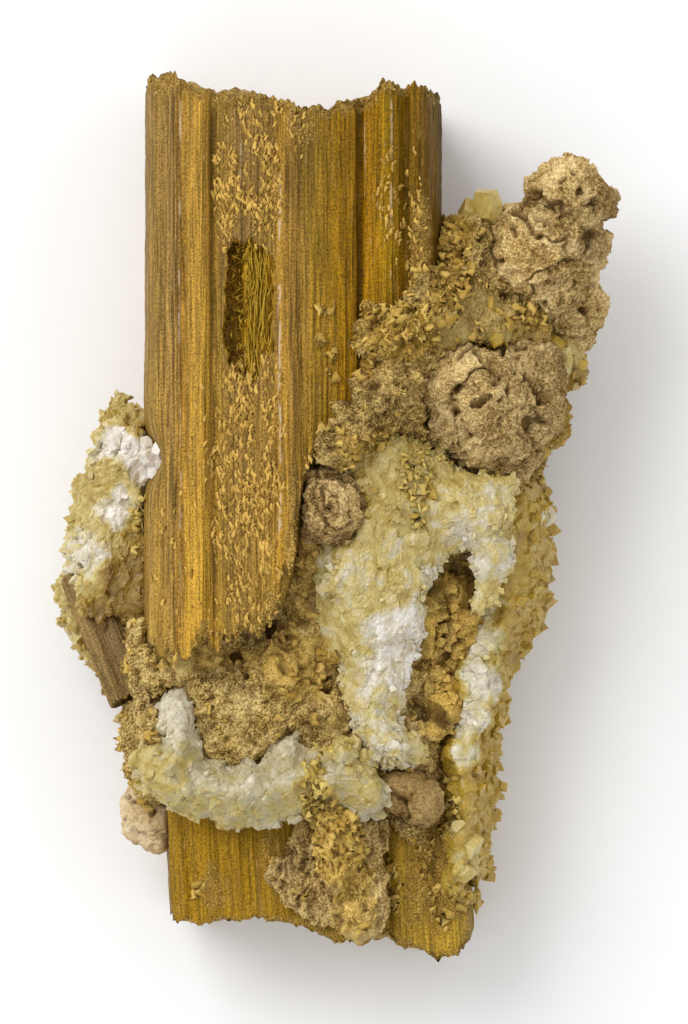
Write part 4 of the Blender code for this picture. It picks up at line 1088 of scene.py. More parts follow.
def fine_prism(node, look):
    """A prism in close rows of points on its solid's own section and between its solid's own ends."""
    turn = Euler((math.radians(look["dive"]), 0, math.radians(look["turn"])), "XYZ").to_matrix()
    bm = merged(node, turn)
    solid = BVHTree.FromBMesh(bm)
    lengths = [vert.co.y for vert in bm.verts]
    at_y = min(lengths) + look["cut"] * (max(lengths) - min(lengths))
    corners = cross_section(bm, at_y)
    depth = max(corner.y for corner in corners)
    left = min(corner.x for corner in corners)
    outline = close_points(corners, look["steps"], depth - look["front"])
    bm.free()
    following, before = np.roll(outline, -1, axis=0), np.roll(outline, 1, axis=0)
    run = following - before
    run /= np.linalg.norm(run, axis=1)[:, None]
    outward = np.stack([run[:, 1], -run[:, 0]], axis=1)
    along = np.concatenate([[0], np.cumsum(np.hypot(*(following - outline).T))])[:-1]
    foot, top = ragged_ends(look, solid, outline, outward, along)
    rows = int(np.max(top - foot) / look["row"]) + 1
    share = np.linspace(0, 1, rows)[:, None]
    y = (foot * (1 - share) + top * share).ravel()
    x, z = np.tile(outline.T, rows)
    outward_x, outward_z = np.tile(outward.T, rows)
    front = step_between(0.15, 0.5, outward_z) * step_between(0.4, 0.5, z / depth)
    from_end = np.minimum(y - np.tile(foot, rows), np.tile(top, rows) - y)
    at = flat_points(np.tile(along, rows), y)
    split = 0.6 * layered(at, 1.6, 76) + 0.7 * smooth_noise(at, (0.7, 2.6, 1.0), 68)
    broken = 1 - step_between(0.2, 1.0, from_end / look["rim"] + split)
    crust = crusted(look, x, y, front)
    rough = 0.5 + 0.5 * smooth_noise(at, 0.5, 77) + 0.3 * smooth_noise(at, 0.27, 78)
    ribs, line = rib_relief(look, np.tile(along, rows), x, y, front)
    around = x - left + np.sign(x - np.mean(outline[:, 0])) * (1 - front) * (depth - z)
    whole = np.stack([around, y, z], axis=1)
    relief = ribs * (1 - 0.8 * broken)
    relief += 0.32 * broken * (rough - 1.1) + 0.4 * crust * rough
    relief *= step_between(-0.05, 0.35, from_end)
    x = x + relief * outward_x
    z = z + relief * outward_z
    hollow = np.zeros(len(z))
    if "window" in look:
        chip_x, chip_y, deep, half_length = look["chip"]
        near = np.clip(1 - abs(x - chip_x) / 1.6, 0, 1) * np.exp(-(((y - chip_y) / half_length) ** 2))
        x = x + deep * near
        reached = (front > 0.5) & (from_end > 1.5) & (abs(x - np.mean(outline[:, 0])) < look["window"])
        z, hollow = windowed(solid, x, y, z, at, reached)
    points = np.stack([x, y, z], axis=1)
    columns = len(outline)
    index = np.arange(rows * columns).reshape(rows, columns)
    wrapped = np.roll(index, -1, axis=1)
    quads = np.stack([index[:-1], index[1:], wrapped[1:], wrapped[:-1]], axis=-1).reshape(-1, 4)
    faces = quads.tolist()
    for end, ring in enumerate((index[0], index[-1])):
        points = capped(points, faces, ring, solid, end, look)
    mesh = bpy.data.meshes.new(node)
    mesh.from_pydata((points @ np.array(turn).T).tolist(), [], faces)
    spare = len(points) - len(hollow)
    paint(mesh, "hollow", np.concatenate([hollow, np.zeros(spare)]))
    paint(mesh, "broken", np.concatenate([np.maximum(broken, crust), np.ones(spare)]))
    # The single lines carry the painted highlights on crests and the painted shade in grooves.
    paint(mesh, "line", np.concatenate([line * (1 - broken), np.zeros(spare)]))
    ends = points[len(whole):] - np.array([left, 0, 0])
    paint_vectors(mesh, "own_place", np.concatenate([whole, ends]))
    obj = add_object(node + "_fine", mesh)
    mesh.shade_smooth()
    return obj


def window_fibres(prism, finish):
    """Thin, swaying fibres that hang in the long prism's window, shorter and twisted in its left part."""
    points, _ = read(prism.data)
    floor = points[numbers(prism.data, "hollow") > 0.12]
    pick = np.random.default_rng(7)
    bm = bmesh.new()
    for x, y, z in floor[pick.choice(len(floor), FIBRE_COUNT)]:
        twisted = x < TWISTED_TO
        length = pick.uniform(0.3, 1.3) if twisted else pick.uniform(1.2, 4.5)
        width = pick.uniform(0.05, 0.1)
        lift = pick.uniform(0.4, 1.7) if twisted else pick.uniform(0.1, 0.9)
        sway = pick.uniform(-0.35, 0.35, 2) * (2.4 if twisted else 1.0)
        rings = []
        for share in np.linspace(0, 1, 7):
            aside = sway[0] * math.sin(share * 4.0 + x * 5) + 0.1 * sway[1]
            rise = lift * math.sin(math.pi * share) + 0.1
            middle = Vector((x + aside, y + (share - 0.5) * length, z + rise))
            thin = width * (0.35 + 0.65 * math.sin(math.pi * min(0.95, share + 0.05)))
            angles = [math.tau * corner / 3 + share * 2 for corner in range(3)]
            ring = [middle + Vector((math.cos(angle), 0, math.sin(angle))) * thin for angle in angles]
            rings.append([bm.verts.new(place) for place in ring])
        walled(bm, rings)
    obj = shape_object("window_fibres", bm)
    obj.data.materials.append(finish)
    obj.data.shade_smooth()
    return obj


# The crusts, the crumbly pieces and the nodules.


def crystal_crust(node, look, finish, crumbs, reach):
    """A crust of intergrown crystals: flat faces all over it, and pointed teeth that stand out of its rim."""
    obj = even_copy(node, face=0.15, worn=2, reach=reach)
    points, normals = read(obj.data)
    seed, size = look["seed"], look["crystal"]
    rim = 1 - step_between(0.3, 0.8, normals[:, 2])
    bent = tangled(points, 2.6, 0.4, seed) / np.array(look["long"])
    large, number = facets(bent, 1.5 * size, seed)
    small, _ = facets(bent, 0.6 * size, seed + 20)
    blocks = rhombs(bent, 1.3 * size, seed + 30)
    first, second, _ = nearest_seeds(bent, 1.4 * size, seed + 35)
    relief = look["rough"] * size * (0.7 * large + 0.3 * small + 0.5 * (blocks - 0.25)) * (1 + 0.8 * rim)
    relief += look["lobes"] * size * (0.5 - first) + covered(points, look.get("swell", ()), seed + 27) * rim
    relief -= covered(points, look.get("trimmed", ()), seed + 27) * rim
    moved = points + normals * (relief + 0.1 * layered(points, 2.2, seed + 40))[:, None]
    write(obj.data, moved)
    obj.data.materials.append(finish)
    obj.data.shade_flat()
    seen = 0.1 + 0.9 * in_view(moved, reach)
    teeth = grown_on(
        obj, seen * look["teeth"] * (0.02 + 0.98 * rim), tooth_shape(), finish, 0.7 * size,
        (0.35 * size, size), lean=0.5, wobble=0.08, seed=seed,
    )
    patchy = step_between(-0.2, 0.5, layered(points, 1.8, seed + 60))
    tablets = grown_on(
        obj, seen * patchy * (0.2 + 0.8 * rim), tablet_shape(), finish, 0.8 * size,
        (0.25 * size, 0.7 * size), lean=0.5, wobble=0.1, seed=seed + 1,
    )
    scraps = scraps_on(obj, seen * covered(points, look["crumbs"], seed + 24), crumbs, 0.32, 0.65, seed + 2)
    for crystals in (teeth, tablets):
        crystals.data.shade_flat()
    paint(obj.data, "low", 2 * look["lobes"] * (1 - step_between(0.0, 0.2, second - first)))
    paint(obj.data, "tint", number)
    obj = joined(obj, teeth, tablets)
    places, _ = read(obj.data)
    pale = blended(places, look["pale"], look["patches"], seed)
    clouded = 0.07 * layered(places, 1.6, seed + 50) + 0.07 * layered(places, 4.0, seed + 53)
    paint(obj.data, "pale", pale + clouded)
    return joined(obj, scraps, *single_crystals(node))


def single_crystals(node):
    """The large crystals that stand on a piece, half sunk in it, each as pale as its list entry says."""
    bm = merged(node)
    solid = BVHTree.FromBMesh(bm)
    bm.free()
    made = []
    for number, (x, y, z, size, pale) in enumerate(LARGE_CRYSTALS.get(node, ())):
        hit = hit_from_above(solid, x, y)
        place = (x, y, hit.z - 0.05 * size if hit else z)
        turn = Euler((0.5 * math.sin(9 * x), 0.5 * math.cos(7 * y), x + y + number), "XYZ")
        crystal = block_shape() if number % 2 else tablet_shape()
        thick = size if number % 2 else 1.8 * size
        grow = Matrix.Diagonal((size, size, thick, 1))
        crystal.data.transform(Matrix.Translation(place) @ turn.to_matrix().to_4x4() @ grow)
        crystal.data.materials.append(bpy.data.materials["milky crystals, vitreous"])
        crystal.data.shade_flat()
        paint(crystal.data, "pale", np.full(len(crystal.data.vertices), pale))
        made.append(crystal)
    return made


def crumbly_piece(node, look, finishes, reach):
    """A porous, crumbly piece: a boxwork of thin walls with curls, chips, clumps and crystals on it."""
    finish, crumbs, fibres, crystalline = finishes
    obj = even_copy(node, look["face"], worn=4, reach=reach)
    points, normals = read(obj.data)
    seed = look["seed"]
    drawn = points / np.array([1.0, look["stretch"], 1.0])
    bent = tangled(drawn, 1.1, 0.45, seed)
    first, second, number = nearest_seeds(bent, look["cell"], seed + 3)
    cells = step_between(0.08, 0.5, second - first)
    first, second, _ = nearest_seeds(bent, 0.5 * look["cell"], seed + 6)
    small_cells = step_between(0.1, 0.6, second - first)
    open_here = 0.35 + 0.65 * covered(points, look["open"], seed + 9)
    coarse = layered(drawn, 1.7, seed + 10)
    grain = smooth_noise(drawn, 0.42, seed + 14)
    fine = smooth_noise(drawn, 0.26, seed + 15)
    yellow = covered(points, look["yellow"], seed + 20)
    relief = 0.35 - look["depth"] * open_here * (cells + 0.55 * small_cells)
    relief += look["coarse"] * coarse + 0.2 * grain + 0.18 * fine + look["ribbed"] * (yellow - 0.4)
    relief += covered(points, look["swell"], seed + 27)
    glassy = covered(points, look["crystals"], seed + 28)
    blocks = rhombs(points, 1.4, seed + 29)
    flat, _ = facets(points, 1.1, seed + 30)
    relief += glassy * (0.3 + 0.8 * (blocks - 0.3) + 0.35 * flat + 0.15 * coarse - relief)
    # Painted shade: darker in the boxwork's cells and in the holes, and where the grain and lumps are low.
    hollow = open_here * (0.7 * cells + 0.3 * small_cells) + 0.12 - 0.5 * grain - 0.45 * fine - 0.3 * coarse
    hollow = np.clip(hollow * (1 - glassy), 0, 1)
    for x, y, radius, depth in look["holes"]:
        near = 1 - step_between(0.5, 1.0, np.hypot(bent[:, 0] - x, bent[:, 1] * look["stretch"] - y) / radius)
        near *= step_between(0.2, 0.6, normals[:, 2])
        relief -= depth * near
        hollow = np.maximum(hollow, near)
    loose = tangled(points + normals * relief[:, None], 0.6, 0.16, seed + 16)
    moved = np.where(glassy[:, None] > 0.5, points + normals * relief[:, None], loose)
    write(obj.data, moved)
    paint(obj.data, "hollow", hollow)
    paint(obj.data, "tint", number)
    paint(obj.data, "yellow", np.clip(yellow + 0.3 * coarse, 0, 1))
    paint(obj.data, "glassy", glassy)
    obj.data.materials.append(finish)
    obj.data.shade_smooth()
    seen = in_view(moved, reach) * (1 - 0.8 * hollow)
    curls = grown_on(
        obj, seen * (1 - 0.6 * yellow) * (1 - glassy), curl_shape(), fibres, look["curls"],
        (0.4 * look["curl"], look["curl"]), EVERY_WAY, wobble=0.15, seed=seed,
    )
    chips = scraps_on(obj, seen * covered(points, look["chips"], seed + 24), crumbs, 0.36, 0.72, seed + 1)
    clumps = grown_on(
        obj, seen * covered(points, look["clumps"], seed + 26), grain_shape(), finish, 0.5, (0.25, 0.75),
        EVERY_WAY, wobble=0.3, seed=seed + 3,
    )
    crystals = grown_on(
        obj, 0.3 * seen * glassy, tablet_shape(), crystalline, 0.6, (0.3, 0.8), lean=1.2, wobble=0.12,
        seed=seed + 2,
    )
    crystals.data.shade_flat()
    paint(crystals.data, "pale", np.full(len(crystals.data.vertices), 0.44))
    return joined(obj, curls, chips, clumps, crystals, *single_crystals(node))


def fine_nodule(node, look, finish, fibres, reach):
    """A porous nodule: folds and curled ridges, ragged pits and a few larger holes in a knobbly body."""
    obj = even_copy(node, look["face"], worn=8, reach=reach)
    points, normals = read(obj.data)
    seed = look["seed"]
    bent = tangled(points, 1.0, 0.5, seed)
    swirl = layered(bent, 3.8, seed + 3, 3)
    ridge = (1 - np.abs(np.sin(swirl * 8.0))) ** 2
    middling = smooth_noise(bent, 0.85, seed + 4)
    small = smooth_noise(bent, 0.4, seed + 5)
    fine = smooth_noise(points, 0.24, seed + 6)
    spongy = layered(points, 2.4, seed + 7) + look["sponge"]
    pits = step_between(0.34, 0.6, 0.8 * middling + 0.35 * small + 0.4 * spongy)
    # The pale skin is in part real and in part a painted pool of light, on lobes that face the lamp.
    pale_skin_and_light = covered(points, look.get("pale_skin_and_light", ()), seed + 9)
    pits *= 1 - 0.6 * pale_skin_and_light
    pores = step_between(0.1, 0.7, 0.9 * small + 0.6 * spongy) * (1 - 0.5 * pale_skin_and_light)
    relief = 0.3 + look["curl"] * ridge - 0.7 * pits - 0.3 * pores + 0.3 * layered(points, 1.6, seed + 10)
    relief += look["grain"] * (1.2 * small + 1.4 * fine)
    # Painted shade: darker in pits and pores, lighter on ridges and on grain that stands up; holes, fold
    # grooves and the painted_shade patches darken it further, and the pale skin lightens it.
    shade = 0.2 + 0.75 * pits + 0.42 * pores - 0.36 * ridge - look["grain"] * (4.0 * small + 4.0 * fine)
    shade += 0.5 * covered(points, look.get("painted_shade", ()), seed + 11) - 0.55 * pale_skin_and_light
    front = step_between(0.1, 0.4, normals[:, 2])
    for x, y, radius, depth in look.get("holes", ()):
        near = front * (1 - step_between(0.55, 1.1, np.hypot(bent[:, 0] - x, bent[:, 1] - y) / radius))
        relief -= depth * near
        shade = np.maximum(shade, near)
    frayed = tangled(bent, 1.6, 0.5, seed + 8)
    for x, y, radius, first, last, depth in look["folds"]:
        across, up = frayed[:, 0] - x, frayed[:, 1] - y
        turned = (np.degrees(np.arctan2(up, across)) - first) % 360 / (last - first)
        within = step_between(0.0, 0.15, turned) * (1 - step_between(0.8, 1.0, turned)) * front
        from_arc = np.hypot(across, up) - radius
        groove = within * np.exp(-((from_arc / 0.17) ** 2))
        relief += depth * (0.5 * within * np.exp(-(((from_arc - 0.3) / 0.22) ** 2)) - groove)
        shade = np.maximum(shade, 0.9 * groove)
    write(obj.data, tangled(points + normals * relief[:, None], 0.5, 0.12, seed + 12))
    paint(obj.data, "hollow", np.clip(shade, 0, 1))
    paint(obj.data, "tint", 0.5 + 0.5 * swirl + 0.6 * pale_skin_and_light)
    obj.data.materials.append(finish)
    obj.data.shade_smooth()
    if "fibrous" not in look:
        return obj
    dusty = in_view(points, reach) * covered(points, look["fibrous"], seed + 14)
    curls = grown_on(
        obj, dusty, curl_shape(), fibres, 0.34, (0.07, 0.19), EVERY_WAY, wobble=0.15, seed=seed
    )
    return joined(obj, curls)


# The finishes.


# A pixel of the render is 0.08 mm. What is finer on the real specimen, such as its single grains and fibres,
# is drawn 0.12 to 0.2 mm wide so that it shows. The colours of each finish are sRGB hex codes.


def new_finish(name):
    """A new material, and the function that adds a node to it."""
    made = bpy.data.materials.new(name)
    made.use_nodes = True
    return made, partial(add_node, made.node_tree)


def kept(node, name, *span):
    """A value painted on the mesh, mapped from one span to another: low, high, new low and new high."""
    return node("MapRange", (node("Attribute", out="Fac", attribute_name=name), *span))


def noise_at(node, place, size, detail=3.0):
    """Noise from 0 to 1 with features of the given size, one number or one for each axis, in millimetres."""
    sizes = size if isinstance(size, tuple) else (size,) * 3
    scaled = node("VectorMath", (place, tuple(1.0 / length for length in sizes)), operation="MULTIPLY")
    return node("TexNoise", {"Vector": scaled, "Scale": 1.0, "Detail": detail})


def own_millimetres(node):
    """A piece's Object coordinates in millimetres."""
    return node("VectorMath", {0: node("TexCoord", out="Object"), "Scale": 1 / MM}, operation="SCALE")


def dressed(made, node, height, depth, strength, shine):
    """Gives a material its shader's values, and a relief so many millimetres deep."""
    relief = node("Bump", {"Height": height, "Distance": depth * MM, "Strength": strength})
    give(made.node_tree, made.node_tree.nodes["Principled BSDF"], {"Normal": relief, **shine})
    return made


def striated_gibbsite(name, bands, foot=1.05, head=1.05, streaky=0.45, clear_from=99.0):
    """Gibbsite that has replaced a ribbed prism grain by grain: satiny streaks with a fine sugary grain.

    The foot and head are how light the prism is at its two ends, and purplish streaks stop at x = clear_from.
    """
    made, node = new_finish(name)
    place = node("Attribute", out="Vector", attribute_name="own_place")
    apart = node("SeparateXYZ", (place,)).node.outputs
    # The ribs wander by a quarter of a millimetre, so the bands of colour do too.
    sway = node("MapRange", (noise_at(node, place, (0.7, 14.0, 2.0)), 0.25, 0.75, -0.28, 0.28))
    swayed = node("Math", (apart["X"], sway), operation="ADD")
    first, last = bands[0][0], bands[-1][0]
    share = node("MapRange", (swayed, 0.0, last - first, 0.0, 1.0))
    colour = node("ValToRGB", (share,), stops=[((at - first) / (last - first), code) for at, code in bands])
    light = node("MapRange", (apart["Y"], -9.0, 28.0, foot, head))
    colour = node("VectorMath", {0: colour, "Scale": light}, operation="SCALE")
    share = node("MapRange", (apart["Y"], -9.0, 18.0, 0.0, 1.0))
    warm = node("ValToRGB", (share,), stops=((0.0, "#FFFFE2"), (1.0, "#FFFFFF")))
    colour = node("Mix", {0: 1.0, 6: colour, 7: warm}, 2, data_type="RGBA", blend_type="MULTIPLY")
    # Real fibres are 0.02 to 0.1 mm wide, and are drawn 0.17 mm wide. The sugary grain is drawn 0.14 mm wide.
    streaks = noise_at(node, place, (0.17, 6.0, 0.5))
    streaks = node("MapRange", (streaks, 0.3, 0.7, 0.97 - streaky, 0.97 + streaky))
    grain = noise_at(node, place, (0.14, 0.15, 0.14), 2.0)
    for light in (streaks, node("MapRange", (grain, 0.3, 0.7, 0.54, 1.5))):
        colour = node("VectorMath", {0: colour, "Scale": light}, operation="SCALE")
    # Purplish films lie between ribs half a millimetre apart, and pale scales 1 to 2 mm long on their crests.
    purple = node("MapRange", (noise_at(node, place, (0.5, 9.0, 1.0), 2.0), 0.52, 0.7, 0.0, 0.34))
    to_clear = node("MapRange", (apart["X"], clear_from, clear_from + 4.0, 1.0, 0.1))
    purple = node("Math", (purple, to_clear), operation="MULTIPLY")
    dashes = node("MapRange", (noise_at(node, place, (0.12, 1.6, 0.4), 1.0), 0.67, 0.74, 0.0, 0.45))
    # Single grooves get painted shade, and the crests of single ribs a painted highlight, broken into dashes
    # by a noise.
    groove = kept(node, "line", -0.15, -0.9, 0.0, 0.6)
    worn = node("MapRange", (noise_at(node, place, (0.3, 0.7, 0.4)), 0.36, 0.5, 0.0, 1.0))
    crest = kept(node, "line", 0.05, 0.7, 0.0, 0.8)
    painted_glint = node("Math", (crest, worn), operation="MULTIPLY")
    # Broken ends and crusted fronts are matt and crumbly. The window's floor is yellow, with painted shade
    # that turns it ochre to brown where it is deep and in its left part.
    broken = kept(node, "broken", 0.0, 1.0, 0.0, 0.85)
    crumbly = node("ValToRGB", (grain,), stops=((0.3, "#644812"), (0.5, "#9A7830"), (0.75, "#D2B26A")))
    patch = node("MapRange", (noise_at(node, place, 1.5, 4.0), 0.35, 0.65, 0.74, 1.16))
    crumbly = node("VectorMath", {0: crumbly, "Scale": patch}, operation="SCALE")
    hollow = node("Attribute", out="Fac", attribute_name="hollow")
    inside = node("ValToRGB", (hollow,), stops=((0.3, "#ECBC34"), (0.6, "#A87E1C"), (1.0, "#B08A3A")))
    inside = node("VectorMath", {0: inside, "Scale": streaks}, operation="SCALE")
    open_here = kept(node, "hollow", 0.05, 0.3, 0.0, 1.0)
    for share, over in (
        (purple, "#806034"), (dashes, "#C8A266"), (groove, "#5A4210"), (painted_glint, "#DCC2A2"), (broken, crumbly),
        (open_here, inside),
    ):
        colour = node("Mix", {0: share, 6: colour, 7: over}, 2, data_type="RGBA")
    silk = node("MapRange", (streaks, 0.52, 1.42, 0.62, 0.36))
    height = node("Math", (streaks, grain), operation="ADD")
    shine = {"Base Color": colour, "Roughness": silk, "IOR": 1.57, "Specular IOR Level": 0.12}
    return dressed(made, node, height, 0.1, 1.0, shine)


def crystal_gibbsite(name, tones):
    """Milky to clear small crystals: white where they are thick, honey and olive where iron stains them."""
    made, node = new_finish(name)
    place = own_millimetres(node)
    # Clouds of milkiness are about as wide as a crystal, and every crystal has a tint of its own.
    cloud = node("MapRange", (noise_at(node, place, 0.9), 0.3, 0.7, -0.13, 0.13))
    tint = kept(node, "tint", 0.0, 1.0, -0.07, 0.07)
    pale = node("Attribute", out="Fac", attribute_name="pale")
    for change in (cloud, tint):
        pale = node("Math", (pale, change), operation="ADD")
    colour = node("ValToRGB", (pale,), stops=tones)
    # The growth steps on a face are finer than a pixel, and are drawn 0.16 mm wide.
    grain = noise_at(node, place, 0.16, 2.0)
    light = node("MapRange", (grain, 0.3, 0.7, 0.86, 1.1))
    colour = node("VectorMath", {0: colour, "Scale": light}, operation="SCALE")
    # Iron stains the crystals in spots, and the seams between them are darker.
    stain = node("MapRange", (noise_at(node, place, 0.7, 4.0), 0.58, 0.7, 0.0, 0.45))
    seam = kept(node, "low", 0.0, 1.0, 0.0, 0.3)
    for share, over in ((stain, "#A58436"), (seam, "#94804A")):
        colour = node("Mix", {0: share, 6: colour, 7: over}, 2, data_type="RGBA")
    gloss = node("MapRange", (grain, 0.3, 0.7, 0.2, 0.5))
    # Light goes about 0.3 mm into the crystals, which gives them their soft glow.
    shine = {
        "Base Color": colour, "Roughness": gloss, "IOR": 1.57, "Subsurface Weight": 0.5,
        "Subsurface Radius": (0.9, 0.85, 0.8), "Subsurface Scale": 0.3 * MM,
    }
    return dressed(made, node, grain, 0.03, 0.7, shine)


def porous_mineral(name, dark, middle, light, yellow=None, hollow="#5C4016", speckled=1.6):
    """Matt, porous, earthy mineral: pale rims and crumbs, and brown painted shade in its hollows."""
    made, node = new_finish(name)
    place = own_millimetres(node)
    # Patches of colour are about 2 mm wide. Pores and specks are 0.05 mm or less, and are drawn 0.19 mm wide.
    patch = noise_at(node, place, 2.2, 4.0)
    speck = noise_at(node, place, 0.19, 2.0)
    both = node("Math", (speck, speckled, patch), operation="MULTIPLY_ADD")
    mean = 0.5 + 0.5 * speckled
    share = node("MapRange", (both, mean - 0.28, mean + 0.28, 0.0, 1.0))
    colour = node("ValToRGB", (share,), stops=((0.0, dark), (0.5, middle), (1.0, light)))
    if yellow:
        share = kept(node, "yellow", 0.0, 1.0, 0.0, 0.7)
        speckle = node("MapRange", (speck, 0.3, 0.7, 0.75, 1.15))
        ochre = node("VectorMath", {0: yellow, "Scale": speckle}, operation="SCALE")
        colour = node("Mix", {0: share, 6: colour, 7: ochre}, 2, data_type="RGBA")
    tint = kept(node, "tint", 0.0, 1.0, 0.84, 1.16)
    colour = node("VectorMath", {0: colour, "Scale": tint}, operation="SCALE")
    # The painted shade: the hollow attribute mixes the hollow colour in.
    deep = kept(node, "hollow", 0.1, 1.0, 0.0, 0.85)
    # Where small crystals show through, the surface is greyer and less matt.
    glassy = node("Attribute", out="Fac", attribute_name="glassy")
    share = node("MapRange", (patch, 0.3, 0.7, 0.0, 1.0))
    grey = node("ValToRGB", (share,), stops=((0.0, "#8A7236"), (0.5, "#A48C4C"), (1.0, "#C2AC6C")))
    for share, over in ((deep, hollow), (glassy, grey)):
        colour = node("Mix", {0: share, 6: colour, 7: over}, 2, data_type="RGBA")
    matt = node("MapRange", (glassy, 0.0, 1.0, 0.92, 0.4))
    shine = {"Base Color": colour, "Roughness": matt, "IOR": 1.55, "Specular IOR Level": 0.2}
    return dressed(made, node, both, 0.12, 1.0, shine)


def crumb_finish(name, dark, light):
    """Soft, powdery crumbs and flakes, each a little lighter or darker than the next."""
    made, node = new_finish(name)
    # The powder on them is far finer than a pixel, and is drawn 0.15 mm wide.
    speck = noise_at(node, own_millimetres(node), 0.15, 2.0)
    tint = node("Attribute", out="Fac", attribute_name="tint")
    both = node("Math", (tint, speck), operation="ADD")
    share = node("MapRange", (both, 0.4, 1.3, 0.0, 1.0))
    colour = node("ValToRGB", (share,), stops=((0.0, dark), (1.0, light)))
    shine = {"Base Color": colour, "Roughness": 0.85, "Specular IOR Level": 0.25}
    return dressed(made, node, speck, 0.04, 0.8, shine)


def plain_paper(name, code):
    """Matt white paper for the floor: no shine, so the specimen's soft shadow is all that shows on it."""
    made, node = new_finish(name)
    # Paper's fibres lie in clouds about 3 mm wide.
    fibre = node("MapRange", (noise_at(node, own_millimetres(node), 3.0), 0.3, 0.7, 0.99, 1.0))
    colour = node("VectorMath", {0: code, "Scale": fibre}, operation="SCALE")
    shader = made.node_tree.nodes["Principled BSDF"]
    give(made.node_tree, shader, {"Base Color": colour, "Roughness": 1.0, "Specular IOR Level": 0.0})
    return made


# The settings that a user would change, the steps and the panel.


class PrismSettings(bpy.types.PropertyGroup):
    flake_spacing: bpy.props.FloatProperty(
        name="Flake Spacing", description="Least distance between flakes, in millimetres", default=0.22,
        min=0.1,
    )
    flake_size: bpy.props.FloatProperty(
        name="Flake Size", description="Half length of the largest flakes, in millimetres", default=0.32,
        min=0.02,
    )
    flake_colour: bpy.props.StringProperty(
        name="Flake Colour", description="sRGB hex of the palest flakes", default="#DEB65C"
    )
    flake_shade: bpy.props.StringProperty(
        name="Flake Shade", description="sRGB hex of the darkest flakes", default="#8C6A26"
    )


class MatrixSettings(bpy.types.PropertyGroup):
    crumb_colour: bpy.props.StringProperty(
        name="Crumb Colour", description="sRGB hex of the palest yellow crumbs", default="#D8B660"
    )
    crumb_shade: bpy.props.StringProperty(
        name="Crumb Shade", description="sRGB hex of the darkest yellow crumbs", default="#A07C2A"
    )
    nodule_colour: bpy.props.StringProperty(
        name="Nodule Colour", description="sRGB hex of the nodules' mean brown", default="#AC8E58"
    )


class StageSettings(bpy.types.PropertyGroup):
    floor_size: bpy.props.FloatProperty(
        name="Floor Size", description="Side of the paper floor", default=1.2, unit="LENGTH"
    )
    floor_colour: bpy.props.StringProperty(
        name="Floor Colour", description="sRGB hex of the floor", default="#FBFBFB"
    )
    camera_place: bpy.props.FloatVectorProperty(
        name="Camera Place", description="Where the camera hangs, looking straight down",
        default=(0.00067, 0.00059, 0.4624), size=3, subtype="TRANSLATION", unit="LENGTH", precision=5,
    )
    lens: bpy.props.FloatProperty(
        name="Lens", description="Focal length of the camera", default=200.0, subtype="DISTANCE_CAMERA"
    )
    sky: bpy.props.FloatProperty(
        name="Sky", description="Strength of the even white light from all round", default=0.78, min=0.0
    )
    key: bpy.props.FloatProperty(
        name="Key Light", description="Power of the large soft light at the upper left", default=2.9,
        subtype="POWER",
    )


class MINERAL_OT_prisms(bpy.types.Operator):
    """Build the three striated prisms and the fibres in the long one's window"""

    bl_idname = "mineral.prisms"
    bl_label = "Prisms"

    def execute(self, context):
        # The long prism is silky and golden, the lower one duller, and the small one a purplish brown.
        finishes = {
            "main_prism": striated_gibbsite("striated gibbsite, satiny", MAIN_BANDS, 1.42, 1.04, 0.52, 11.5),
            "lower_prism": striated_gibbsite("striated gibbsite, duller", LOWER_BANDS, streaky=0.36),
            "side_prism": striated_gibbsite("striated gibbsite, purplish brown", SIDE_BANDS),
        }
        for node, look in PRISMS.items():
            obj = fine_prism(node, look)
            obj.data.materials.append(finishes[node])
            if "window" in look:
                # Fibres that are less weathered than the front keep a bright ochre.
                fibre = crumb_finish("gibbsite fibres, silky ochre", "#A8841E", "#F6D04C")
                obj = joined(obj, window_fibres(obj, fibre))
            finished(obj, look["slot"], node)
        return {"FINISHED"}


class MINERAL_OT_flakes(bpy.types.Operator):
    """Grow the flakes, the clusters of yellow crumbs and the grains on the prisms' fronts"""

    bl_idname = "mineral.flakes"
    bl_label = "Flakes"

    def execute(self, context):
        look = context.scene.mineral_prisms
        matrix = context.scene.mineral_matrix
        # Chalky flakes catch the light, sugary grains sit in the colour of the prism, and crumbs are yellow.
        flake = crumb_finish("gibbsite flakes, chalky", look.flake_shade, look.flake_colour)
        grain = crumb_finish("gibbsite grains, sugary", "#80601E", "#C2A05A")
        crumb = crumb_finish("gibbsite crumbs on prisms, powdery", matrix.crumb_shade, matrix.crumb_colour)
        grown = []
        for node in ("main_prism", "lower_prism"):
            recipe = PRISMS[node]
            host = add_object(node + "_host", bpy.data.objects[node + "_fine"].data.copy())
            host.data.transform(Matrix.Scale(1 / MM, 4))
            points, normals = read(host.data)
            front = step_between(0.2, 0.6, normals[:, 2]) * (points[:, 2] > 0.75 * points[:, 2].max())
            sandy = numbers(host.data, "broken") * front
            grains = grown_on(
                host, sandy, grain_shape(), grain, 0.24, (0.05, 0.16), EVERY_WAY, wobble=0.1, seed=6
            )
            grown.append(grains)
            if "flakes" in recipe:
                streaky = step_between(-0.7, 0.0, smooth_noise(points, (0.6, 3.0, 50.0), 91))
                thick = covered(points, recipe["flakes"], 90) * front * streaky
                flakes = grown_on(
                    host, thick, flake_shape(), flake, look.flake_spacing,
                    (look.flake_size * 0.3, look.flake_size), lean=0.45, wobble=0.4, seed=3, spin=0.45,
                    follow=1.0,
                )
                grown.append(flakes)
            thick = covered(points, recipe["crumbs"], 92) * front
            grown.append(scraps_on(host, thick, crumb, spacing=0.34, largest=0.7, seed=4))
            bpy.data.objects.remove(host, do_unlink=True)
        flakes = joined(*grown)
        flakes.name = "prism_flakes"
        flakes.data.shade_smooth()
        finished(flakes, "granular_crust")
        return {"FINISHED"}


